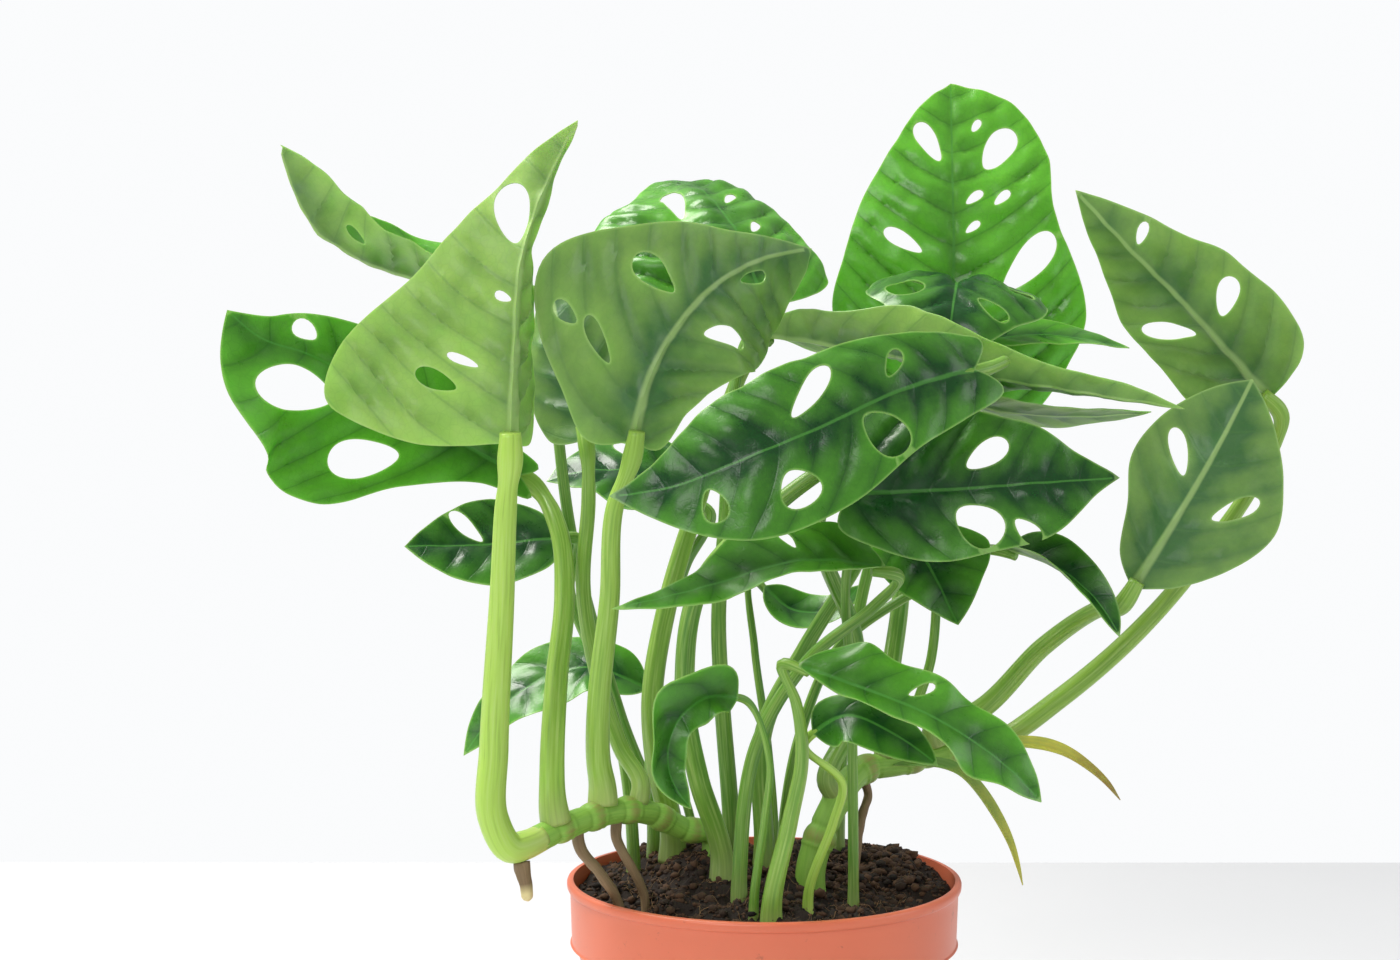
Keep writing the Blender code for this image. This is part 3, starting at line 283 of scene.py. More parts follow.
class Blade:
    """One leaf blade as a mapping from a flat drawing (across, along) to space."""

    def __init__(self, rib, face, right, left, fold=(8, 8), curl=(0, 0), wave=(0, 2, 0), back=(0, 0),
                 holes=()):
        self.half = {1: right, -1: left}
        self.bend = {side: (pair(pair(fold)[k]), pair(pair(curl)[k])) for k, side in enumerate((1, -1))}
        self.wave, self.back, self.holes = wave, {1: back[0], -1: back[1]}, holes
        self.rib, self.length = smooth_path(rib, 65)
        self.tangent = unit(np.gradient(self.rib, axis=0))
        up = np.asarray(face, float)
        self.normal = unit(up - (self.tangent @ up)[:, None] * self.tangent)
        self.across = np.cross(self.tangent, self.normal)

    def margin(self, side, count):
        w = self.half[side]
        lobe = [(w[0] * 0.55, -self.back[side])] if self.back[side] else []
        line = [(0, 0)] + lobe + [(a, s * self.length) for a, s in zip(w, STATIONS)] + [(0, self.length)]
        p, _ = smooth_path(line, count)
        p[:, 0] = np.maximum(p[:, 0], 0)
        return p * (side, 1)

    def outline(self, step):
        rim = {}
        for side in (1, -1):
            fine = self.margin(side, 200)
            long = np.linalg.norm(np.diff(fine, axis=0), axis=1).sum()
            rim[side] = self.margin(side, max(6, int(round(long / step)) + 1))
        return np.concatenate([rim[1], rim[-1][::-1][1:-1]])

    def hole(self, side, across, along, long, wide, lean, step):
        m = self.margin(side, 200)[20:]
        reach = np.interp(along * self.length, m[:, 1], np.abs(m[:, 0]))
        n = max(14, int(round(math.pi * (long + wide) / 2 / step)))
        a = np.linspace(0, 2 * math.pi, n, endpoint=False)
        x, y = long / 2 * np.cos(a), wide / 2 * np.sin(a) * (1 + 0.3 * np.cos(a))
        c, s = math.cos(math.radians(lean)), math.sin(math.radians(lean))
        return np.stack([side * (across * reach + x * c - y * s), along * self.length + x * s + y * c], 1)

    def place(self, flat):
        """Points in space and the upper side's direction there, for flat points (across, along)."""
        x, y = flat[:, 0], flat[:, 1]
        s = y / self.length
        at = np.linspace(0, 1, 65)
        rib, tan, nor, acr = (np.stack([np.interp(s, at, a[:, j]) for j in range(3)], 1)
                              for a in (self.rib, self.tangent, self.normal, self.across))
        tan, nor, acr = unit(tan), unit(nor), unit(acr)
        rib = rib + (np.minimum(y, 0) + np.maximum(y - self.length, 0))[:, None] * tan
        side = np.where(x >= 0, 1.0, -1.0)
        r, sc = np.abs(x), np.clip(s, 0, 1)
        ends = np.array([[self.bend[1][k][e] for k in (0, 1) for e in (0, 1)],
                         [self.bend[-1][k][e] for k in (0, 1) for e in (0, 1)]])
        f0, f1, c0, c1 = ends[np.where(x >= 0, 0, 1)].T
        fold = np.radians(f0 * (1 - sc) + f1 * sc)
        curl = np.radians(c0 * (1 - sc) + c1 * sc)
        curl = np.where(np.abs(curl) < 0.001, 0.001, curl)
        wide = np.where(x >= 0, max(self.half[1]), max(self.half[-1]))
        turn = fold + r / wide * curl
        out = wide / curl * (np.sin(turn) - np.sin(fold))
        lift = -wide / curl * (np.cos(turn) - np.cos(fold))
        p = rib + (side * out)[:, None] * acr + lift[:, None] * nor
        n = (-side * np.sin(turn))[:, None] * acr + np.cos(turn)[:, None] * nor
        high, count, start = self.wave
        w = high * np.sin(2 * math.pi * (count * s + start) + np.where(x >= 0, 0, 2.1)) * (r / wide) ** 2
        return p + w[:, None] * n, n

    def vein_phase(self, flat):
        """Whole numbers on the side veins, which leave the midrib low and sweep up towards the tip."""
        r = np.abs(flat[:, 0])
        wide = np.where(flat[:, 0] >= 0, max(self.half[1]), max(self.half[-1]))
        return (flat[:, 1] - 0.4 * r - 0.4 * r * r / wide) / VEIN_SPACING


def inside(points, loop):
    hit = np.zeros(len(points), bool)
    for (ax, ay), (bx, by) in zip(loop, np.roll(loop, -1, axis=0)):
        cross = (ay > points[:, 1]) != (by > points[:, 1])
        with np.errstate(divide="ignore", invalid="ignore"):
            hit ^= cross & (points[:, 0] < (bx - ax) * (points[:, 1] - ay) / (by - ay) + ax)
    return hit


def distance(points, loop):
    """From each point to a closed line."""
    best = np.full(len(points), 1e9)
    for a, b in zip(loop, np.roll(loop, -1, axis=0)):
        ab = b - a
        t = np.clip(((points - a) @ ab) / max(ab @ ab, 1e-9), 0, 1)
        best = np.minimum(best, np.linalg.norm(points - a - t[:, None] * ab, axis=1))
    return best


def flat_mesh(blade):
    """Triangulated flat drawing, close-meshed beside the rib, and each point's distance to the edge."""
    rim = blade.outline(LEAF_RIM_MESH)
    holes = [blade.hole(*h, step=LEAF_RIM_MESH * 0.7) for h in blade.holes]
    rows = np.arange(1.0, blade.length, LEAF_MESH * 1.2)
    near_rib = np.concatenate([np.stack([np.full(len(rows), x), rows], 1) for x in (-2.1, -1.0, 0, 1.0, 2.1)])
    xs = np.arange(-int(90 / LEAF_MESH), int(90 / LEAF_MESH)) * LEAF_MESH
    ys = np.arange(-int(40 / LEAF_MESH), int((blade.length + 10) / LEAF_MESH)) * LEAF_MESH * 0.87
    ys = np.append(ys, ys[-1] + np.arange(1, 12) * 2)
    grid = np.array([(x + (j % 2) * LEAF_MESH / 2, y) for j, y in enumerate(ys) for x in xs])
    grid = grid[np.abs(grid[:, 0]) > 2.9]
    pts = np.concatenate([near_rib, grid])
    pts = pts[inside(pts, rim)]
    keep = distance(pts, rim) > LEAF_RIM_MESH * 0.55
    for h in holes:
        keep &= ~inside(pts, h) & (distance(pts, h) > LEAF_RIM_MESH * 0.45)
    pts = pts[keep]
    loops = [rim] + holes
    verts = [Vector(p) for loop in loops for p in loop] + [Vector(p) for p in pts]
    edges, start = [], 0
    for loop in loops:
        edges += [(start + i, start + (i + 1) % len(loop)) for i in range(len(loop))]
        start += len(loop)
    got, _, faces, *_ = delaunay_2d_cdt(verts, edges, [], 0, 1e-5)
    got = np.array([tuple(v) for v in got])
    mid = np.array([got[list(f)].mean(axis=0) for f in faces])
    ok = inside(mid, rim)
    for h in holes:
        ok &= ~inside(mid, h)
    faces = [f for f, k in zip(faces, ok) if k]
    used = sorted({i for f in faces for i in f})
    new = {old: i for i, old in enumerate(used)}
    got = got[used]
    edge = np.minimum.reduce([distance(got, loop) for loop in loops])
    return got, [tuple(new[i] for i in f) for f in faces], edge


def ripple(x, y, seed, size):
    """Slow random swelling, about -1 to 1, that repeats over roughly size millimetres."""
    return np.array([noise.noise((a / size, b / size, seed)) for a, b in zip(x, y)]) * 1.8


def add_piece(name, verts, faces, materials, faces_of=None, values=None, sharp=None):
    mesh = bpy.data.meshes.new(name)
    mesh.from_pydata([tuple(v) for v in np.asarray(verts) * MM], [], faces)
    for m in materials:
        mesh.materials.append(m)
    if faces_of is not None:
        mesh.polygons.foreach_set("material_index", faces_of)
    mesh.polygons.foreach_set("use_smooth", [True] * len(mesh.polygons))
    for key, v in (values or {}).items():
        v = np.asarray(v, np.float32)
        layer = mesh.attributes.new(key, "FLOAT_VECTOR" if v.ndim == 2 else "FLOAT", "POINT")
        layer.data.foreach_set("vector" if v.ndim == 2 else "value", v.ravel())
    mesh.update()
    if sharp:
        mesh.set_sharp_from_angle(angle=math.radians(sharp))
    obj = bpy.data.objects.new(name, mesh)
    bpy.context.scene.collection.objects.link(obj)
    return obj


def grow_leaf(name, blade, seed, materials):
    """A closed thin blade with sunken veins above, a raised midrib below and a firm pale margin."""
    flat, faces, edge = flat_mesh(blade)
    space, up = blade.place(flat)
    r = np.abs(flat[:, 0])
    phase = blade.vein_phase(flat)
    off = np.abs(phase - np.round(phase)) * VEIN_SPACING
    size = min(1.0, max(blade.half[1]) / 24.0)
    calm = np.clip(edge / 7.0, 0, 1) * np.clip(r / 4.0, 0, 1) * size
    bend = (PUCKER * (np.sin(math.pi * (phase - np.floor(phase))) ** 0.8 - 0.5)
            - VEIN_DEPTH * np.exp(-(off / VEIN_WIDE) ** 2)) * calm
    bend += 1.7 * size * ripple(flat[:, 0], flat[:, 1], seed, 21.0) * np.clip(r / 8.0, 0, 1)
    bend += 0.55 * size * ripple(flat[:, 0], flat[:, 1], seed + 7.3, 6.5)
    wide = max(max(blade.half[1]), max(blade.half[-1]))
    bend += 2.6 * size * ripple(np.sign(flat[:, 0]) * 40, flat[:, 1], seed + 3.1, 17.0) * (r / wide) ** 2
    s = np.clip(flat[:, 1] / blade.length, 0, 1)
    rib = np.exp(-(r / RIB_WIDE) ** 2) * np.clip(edge / 1.2, 0, 1)
    thin = LEAF_T * (0.55 + 0.45 * np.clip(edge / 2.0, 0, 1))
    top = space + up * (bend + thin / 2 - RIB_GROOVE * rib * (1 - 0.6 * s))[:, None]
    low = space + up * (bend - thin / 2 - RIB_RIDGE * size * rib * (1 - 0.85 * s)
                        - 0.3 * size * np.exp(-(off / VEIN_WIDE) ** 2) * calm)[:, None]
    n = len(flat)
    rim = {}
    for f in faces:
        for a, b in zip(f, f[1:] + f[:1]):
            if (b, a) in rim:
                del rim[(b, a)]
            else:
                rim[(a, b)] = True
    body = list(faces) + [tuple(n + i for i in f[::-1]) for f in faces]
    body += [(b, a, n + a, n + b) for a, b in rim]
    kind = [0] * len(faces) + [1] * len(faces) + [2] * len(rim)
    a, b, c = (top[faces[0][k]] for k in range(3))
    if np.cross(b - a, c - a) @ up[faces[0][0]] < 0:
        body = [f[::-1] for f in body]
    two = lambda v: np.concatenate([v, v])
    values = {"phase": two(phase), "off_rib": two(r), "to_edge": two(edge), "along": two(s),
              "drawing": two(np.column_stack([flat / 10.0, np.full(n, seed)])),
              "pale": np.full(2 * n, PALE.get(name, DEEP))}
    return add_piece("leaf_" + name, np.concatenate([top, low]), body, materials, kind, values, sharp=50)


def cord_rings(points, radius, sides, spacing, face=None):
    """Rings of a tube on a smooth path. radius(s, long, turn) gives their radii. face is at turn = 0."""
    _, long = smooth_path(points, 3)
    count = max(4, int(long / spacing) + 1)
    path, _ = smooth_path(points, count)
    tan = unit(np.gradient(path, axis=0))
    side = np.cross(tan[0], (0.3, 0.5, 0.8) if face is None else face)
    turn = np.linspace(0, 2 * math.pi, sides, endpoint=False)
    verts, marks = [], []
    for i, (p, t) in enumerate(zip(path, tan)):
        side = unit(side - (side @ t) * t)
        over = np.cross(side, t)
        s = i / (count - 1) * long
        r = radius(s, long, turn)
        verts.append(p + (np.cos(turn) * r)[:, None] * over + (np.sin(turn) * r)[:, None] * side)
        marks.append(np.column_stack([np.cos(turn), np.sin(turn), np.full(sides, s)]))
    faces = []
    for i in range(count - 1):
        a, b = i * sides, (i + 1) * sides
        faces += [(a + j, a + (j + 1) % sides, b + (j + 1) % sides, b + j) for j in range(sides)]
    verts, marks = np.concatenate(verts), np.concatenate(marks)
    verts = np.concatenate([verts, path[:1], path[-1:]])
    marks = np.concatenate([marks, [(0, 0, 0)], [(0, 0, long)]])
    m = count * sides
    faces += [((j + 1) % sides, j, m) for j in range(sides)]
    faces += [(m - sides + j, m - sides + (j + 1) % sides, m + 1) for j in range(sides)]
    faces = [f[::-1] for f in faces] if outward_test(verts, faces) < 0 else faces
    return verts, faces, marks, long


def outward_test(verts, faces):
    """Positive where the faces of a closed body look outwards."""
    total = 0.0
    for f in faces:
        for k in range(1, len(f) - 1):
            total += np.dot(verts[f[0]], np.cross(verts[f[k]], verts[f[k + 1]]))
    return total


def grow_cord(name, points, radius, sides, spacing, mats, pale, face=None):
    verts, faces, marks, long = cord_rings(points, radius, sides, spacing, face)
    n = len(verts)
    values = {"grain": marks * (1, 1, 0.012), "run": marks[:, 2] / long, "pale": np.full(n, pale)}
    return add_piece(name, verts, faces, mats, values=values)


def stalk_radius(r0, r1, sheath, swell):
    """A stalk channelled down its upper side, winged by a sheath low down, with a knuckle under the blade."""
    def radius(s, long, turn):
        k = s / long
        r = r0 + (r1 - r0) * k
        left = long - s
        knuckle = 0.22 * math.exp(-((left - 7.0) / 5.0) ** 2) - 0.1 * math.exp(-((left - 15.0) / 4.0) ** 2)
        foot = swell * math.exp(-(s / 7.0) ** 2)
        wings = sheath * max(0.0, 1 - (k / 0.72) ** 6) * min(1.0, s / 14.0)
        a = np.minimum(turn, 2 * math.pi - turn)
        channel = 0.14 * np.exp(-(a / 0.3) ** 2)
        return r * (1 + knuckle + foot - channel + 0.22 * wings * np.exp(-((a - 0.62) / 0.16) ** 2))
    return radius


# ---------------------------------------------------------------- soil and pot shapes
def wall_radius(z):
    low, high = POT_BASE_R, POT_R - COLLAR_STEP - 0.6
    return low + (high - low) * z / (POT_H - COLLAR_H)


def soil_height(x, y):
    h = SOIL_LEVEL + sum(a * math.exp(-((x - cx)**2 + (y - cy)**2) / (2 * w * w))
                         for cx, cy, a, w in SOIL_HEAPS)
    return min(h, SOIL_LEVEL + SOIL_RISE)


def stand(x, y, r):
    ring = [(x + r * math.cos(a), y + r * math.sin(a)) for a in np.linspace(0, 2 * math.pi, 12)] + [(x, y)]
    return max(soil_height(*p) for p in ring) + JOIN


def rough_soil(x, y):
    """The peat's crumbly top: heaps, clods and grains."""
    clod = noise.noise((x / 8, y / 8, 3.0)) * 3.2 + abs(noise.noise((x / 3.6, y / 3.6, 8.0))) * 3.0
    grain = noise.noise((x / 1.3, y / 1.3, 1.0)) * 0.9
    edge = max(0.0, 1 - max(0.0, math.hypot(x, y) - 50) / 8)
    return soil_height(x, y) - 1.2 + (clod + grain) * (0.45 + 0.55 * edge)


def build_soil(materials):
    """Peat down to the pot's floor, with its top broken up into clods."""
    neck = wall_radius(POT_H - COLLAR_H)
    edge = POT_R - LIP_OVER - POT_WALL - JOIN - 0.4
    rings = [(POT_BASE_R - POT_WALL - 1.8, FLOOR_T + JOIN + 0.2),
             (neck - POT_WALL - JOIN - 0.6, POT_H - COLLAR_H - 2.4),
             (neck + COLLAR_STEP - POT_WALL - JOIN - 1.4, POT_H - COLLAR_H + 1.8)]
    around, verts, faces = 240, [(0, 0, FLOOR_T + JOIN + 0.2)], []
    tops = list(np.linspace(edge, 1.0, 46))
    for r, z in rings + [(t, None) for t in tops]:
        for i in range(around):
            a = 2 * math.pi * i / around
            x, y = r * math.cos(a), r * math.sin(a)
            verts.append((x, y, rough_soil(x, y) if z is None else z))
    verts.append((0, 0, rough_soil(0, 0)))
    count = len(rings) + len(tops)
    for i in range(around):
        j = (i + 1) % around
        faces.append((0, 1 + j, 1 + i))
        for k in range(count - 1):
            a, b = 1 + k * around, 1 + (k + 1) * around
            faces.append((a + i, a + j, b + j, b + i))
        faces.append((1 + (count - 1) * around + i, 1 + (count - 1) * around + j, len(verts) - 1))
    return add_piece("soil_peat", verts, faces, materials)


def lump(dice, size):
    """One crumb: a small cube knocked out of shape, then rounded once."""
    base = np.array([(x, y, z) for x in (-1, 1) for y in (-1, 1) for z in (-1, 1)], float)
    mid = np.array([(1, 0, 0), (-1, 0, 0), (0, 1, 0), (0, -1, 0), (0, 0, 1), (0, 0, -1)], float)
    knock = np.array([dice.random() for _ in range(14)])[:, None]
    p = np.concatenate([unit(base), mid]) * (0.75 + 0.5 * knock)
    p *= (size, size * dice.uniform(0.6, 1.0), size * dice.uniform(0.45, 0.8))
    a, b = dice.uniform(0, 6.3), dice.uniform(-0.5, 0.5)
    c, s = math.cos(a), math.sin(a)
    p = p @ np.array([(c, s, 0), (-s, c, 0), (0, 0, 1)])
    c, s = math.cos(b), math.sin(b)
    p = p @ np.array([(1, 0, 0), (0, c, s), (0, -s, c)])
    quads = ((4, 5, 7, 6), (0, 2, 3, 1), (2, 6, 7, 3), (0, 1, 5, 4), (1, 3, 7, 5), (0, 4, 6, 2))
    faces = []
    for m, q in enumerate(quads):
        faces += [(q[i], q[(i + 1) % 4], 8 + m) for i in range(4)]
    return p, faces


def scatter_crumbs(name, count, sizes, spread, materials, seed):
    """Loose crumbs of peat lying on the soil, more of them in the heap at the back right."""
    dice = random.Random(seed)
    verts, faces, pale = [], [], []
    start = 0
    for _ in range(count):
        if dice.random() < 0.3:
            x, y = dice.gauss(*LOOSE_HEAP[0]), dice.gauss(*LOOSE_HEAP[1])
        else:
            r, a = spread * math.sqrt(dice.random()), dice.uniform(0, 6.283)
            x, y = r * math.cos(a), r * math.sin(a)
        size = dice.uniform(*sizes)
        if math.hypot(x, y) + size > spread:
            continue
        p, f = lump(dice, size)
        p += (x, y, rough_soil(x, y) + size * 0.25)
        verts.append(p)
        faces += [tuple(start + i for i in t) for t in f]
        pale += [dice.random()] * len(p)
        start += len(p)
    return add_piece(name, np.concatenate(verts), faces, materials, values={"pale": pale})


def thinning(thick):
    """A fibre's radii: thick at its start, and 0.4 of that at its end."""
    def radius(s, long, turn):
        return thick * (1 - 0.6 * (s / long)) * np.ones_like(turn)
    return radius


def scatter_fibres(name, count, materials, seed):
    """Thin broken fibres of peat and old roots, lying across the soil."""
    dice = random.Random(seed)
    verts, faces, pale, start = [], [], [], 0
    for _ in range(count):
        r, a = FIBRE_STARTS * math.sqrt(dice.random()), dice.uniform(0, 6.283)
        x, y, turn = r * math.cos(a), r * math.sin(a), dice.uniform(0, 6.283)
        long, bow, thick = dice.uniform(2, 9), dice.uniform(-0.9, 0.9), dice.uniform(0.05, 0.12)
        tilt = dice.uniform(-0.1, 0.35)
        line = []
        for k in np.linspace(0, 1, 7):
            px, py = x + long * k * math.cos(turn + bow * k), y + long * k * math.sin(turn + bow * k)
            if math.hypot(px, py) > FIBRE_ENDS:
                break
            line.append((px, py, rough_soil(px, py) + thick + 0.5 + tilt * long * k * (1 - k)))
        if len(line) < 5:
            continue
        v, f, _, _ = cord_rings(line, thinning(thick), 5, long / 6)
        verts.append(v)
        faces += [tuple(start + i for i in t) for t in f]
        pale += [dice.random()] * len(v)
        start += len(v)
    return add_piece(name, np.concatenate(verts), faces, materials, values={"pale": pale})


def pot_line():
    """The pot's wall seen in section, outside then inside, with the moulded lip and collar rounded over."""
    shoulder = POT_H - COLLAR_H
    neck, top = wall_radius(shoulder), POT_R
    inner_top = top - LIP_OVER - POT_WALL
    outer = [(top - 1.3, POT_H), (top - 0.7, POT_H - 0.08), (top - 0.22, POT_H - 0.35), (top, POT_H - 0.9),
             (top, POT_H - 1.6), (top - 0.05, POT_H - LIP_H + 0.7), (top - 0.25, POT_H - LIP_H + 0.25),
             (top - 0.6, POT_H - LIP_H), (top - 0.85, POT_H - LIP_H - 0.15),
             (top - 0.95, POT_H - LIP_H - 0.5)]
    outer += [(top - 0.95 - 0.5 * k, POT_H - LIP_H - 0.5 - (COLLAR_H - LIP_H - 1.4) * k)
              for k in np.linspace(0.1, 1, 8)]
    outer += [(neck + COLLAR_STEP - 0.35, shoulder + 0.45), (neck + COLLAR_STEP - 0.8, shoulder + 0.08),
              (neck + COLLAR_STEP - 1.4, shoulder), (neck + 0.45, shoulder - 0.05),
              (neck + 0.12, shoulder - 0.3),
              (neck, shoulder - 0.9)]
    outer += [(wall_radius(shoulder * k), shoulder * k) for k in np.linspace(0.975, 0.03, 22)]
    outer += [(POT_BASE_R - 0.15, 1.1), (POT_BASE_R - 0.5, 0.4), (POT_BASE_R - 1.2, 0.05),
              (POT_BASE_R - 2.2, 0),
              (POT_BASE_R - 4.5, 0.0), (POT_BASE_R - 5.2, 0.5), (POT_BASE_R - 6.0, 0.7)]
    outer += [(r, 0.7) for r in (DRAIN_RING + 6.5, DRAIN_RING - 6.5, 14.0)]
    inner = [(r, FLOOR_T) for r in (14.0, DRAIN_RING - 6.5, DRAIN_RING + 6.5, POT_BASE_R - POT_WALL - 1.5)]
    inner += [(POT_BASE_R - POT_WALL - 0.2, FLOOR_T + 0.5)]
    inner += [(wall_radius(shoulder * k) - POT_WALL, shoulder * k) for k in np.linspace(0.05, 0.975, 20)]
    inner += [(neck + COLLAR_STEP - POT_WALL - 0.6, shoulder + 1.2)]
    inner += [(inner_top - 0.5 * (1 - k), shoulder + 1.2 + (COLLAR_H - 5.0) * k)
              for k in np.linspace(0.15, 1, 6)]
    inner += [(inner_top, POT_H - 1.2), (inner_top + 0.2, POT_H - 0.4), (top - 1.9, POT_H - 0.05)]
    return outer, inner


def floor_drawing(radius, around):
    """The round of floor that holds the drain holes, as flat points and triangles."""
    turn = np.linspace(0, 2 * math.pi, around, endpoint=False)
    loops = [np.column_stack([radius * np.cos(turn), radius * np.sin(turn)])]
    for k in range(DRAIN_COUNT):
        a = 2 * math.pi * (k + 0.4) / DRAIN_COUNT
        t = np.linspace(0, 2 * math.pi, 32, endpoint=False)
        loops.append(np.column_stack([DRAIN_RING * math.cos(a) + DRAIN_R * np.cos(t),
                                      DRAIN_RING * math.sin(a) + DRAIN_R * np.sin(t)]))
    verts, edges, start = [Vector(p) for loop in loops for p in loop] + [Vector((0, 0))], [], 0
    for loop in loops:
        edges += [(start + i, start + (i + 1) % len(loop)) for i in range(len(loop))]
        start += len(loop)
    got, _, faces, *_ = delaunay_2d_cdt(verts, edges, [], 0, 1e-5)
    got = np.array([tuple(v) for v in got])
    mid = np.array([got[list(f)].mean(axis=0) for f in faces])
    keep = np.ones(len(faces), bool)
    for loop in loops[1:]:
        keep &= ~inside(mid, loop)
    return got, [f for f, k in zip(faces, keep) if k], loops[1:]


def both_faces(flat, low, high):
    """A flat drawing's points at two heights."""
    return [np.column_stack([flat, np.full(len(flat), z)]) for z in (low, high)]


def build_pot(materials):
    """The pot turned from its section, and its flat floor with the drain holes through it."""
    outer, inner = pot_line()
    around, flat_r = 180, DRAIN_RING + 6.5
    outer = [p for p in outer if p[0] >= flat_r or p[1] > 2]
    inner = [p for p in inner if p[0] >= flat_r or p[1] > 2]
    line = inner + outer
    turn = np.linspace(0, 2 * math.pi, around, endpoint=False)
    verts = np.concatenate([np.column_stack([r * np.cos(turn), r * np.sin(turn), np.full(around, z)])
                            for r, z in line])
    faces = []
    for k in range(len(line) - 1):
        a, b = k * around, (k + 1) * around
        faces += [(a + i, a + (i + 1) % around, b + (i + 1) % around, b + i) for i in range(around)]
    disc, tris, holes = floor_drawing(flat_r, around)
    low, high = outer[-1][1], FLOOR_T
    n = len(verts)
    verts = np.concatenate([verts] + both_faces(disc, low, high))
    faces += [tuple(n + i for i in t[::-1]) for t in tris]
    faces += [tuple(n + len(disc) + i for i in t) for t in tris]
    for hole in holes:
        n, m = len(verts), len(hole)
        verts = np.concatenate([verts] + both_faces(hole, low, high))
        faces += [(n + i, n + m + i, n + m + (i + 1) % m, n + (i + 1) % m) for i in range(m)]
    pot = add_piece("moulded_pot", verts, faces, materials)
    bm = bmesh.new()
    bm.from_mesh(pot.data)
    bmesh.ops.remove_doubles(bm, verts=bm.verts, dist=0.00001)
    bmesh.ops.recalc_face_normals(bm, faces=bm.faces)
    bm.to_mesh(pot.data)
    bm.free()
    pot.data.set_sharp_from_angle(angle=math.radians(40))
    return pot


# ---------------------------------------------------------------- colours and surfaces
def colour(hexa):
    """A hex colour as the eye reads it on a screen, made linear."""
    parts = [int(hexa[i:i + 2], 16) / 255 for i in (1, 3, 5)]
    return tuple(c / 12.92 if c <= 0.04045 else ((c + 0.055) / 1.055) ** 2.4 for c in parts) + (1.0,)


def put(tree, kind, sockets=None, **settings):
    """Adds one node. settings are its own options; sockets its inputs, each a value, a node or an output."""
    new = tree.nodes.new("ShaderNode" + kind)
    for key, value in settings.items():
        setattr(new, key, value)
    for key, value in (sockets or {}).items():
        if isinstance(value, bpy.types.Node):
            value = next(o for o in value.outputs if o.enabled)
        if isinstance(value, bpy.types.NodeSocket):
            tree.links.new(value, new.inputs[key])
        else:
            new.inputs[key].default_value = value
    return new


def surface(name):
    """An empty material, its tree, and its finished shader's place."""
    mat = bpy.data.materials.new(name)
    mat.use_nodes = True
    mat.node_tree.nodes.clear()
    return mat, mat.node_tree


def read(tree, name):
    return put(tree, "Attribute", attribute_name=name)


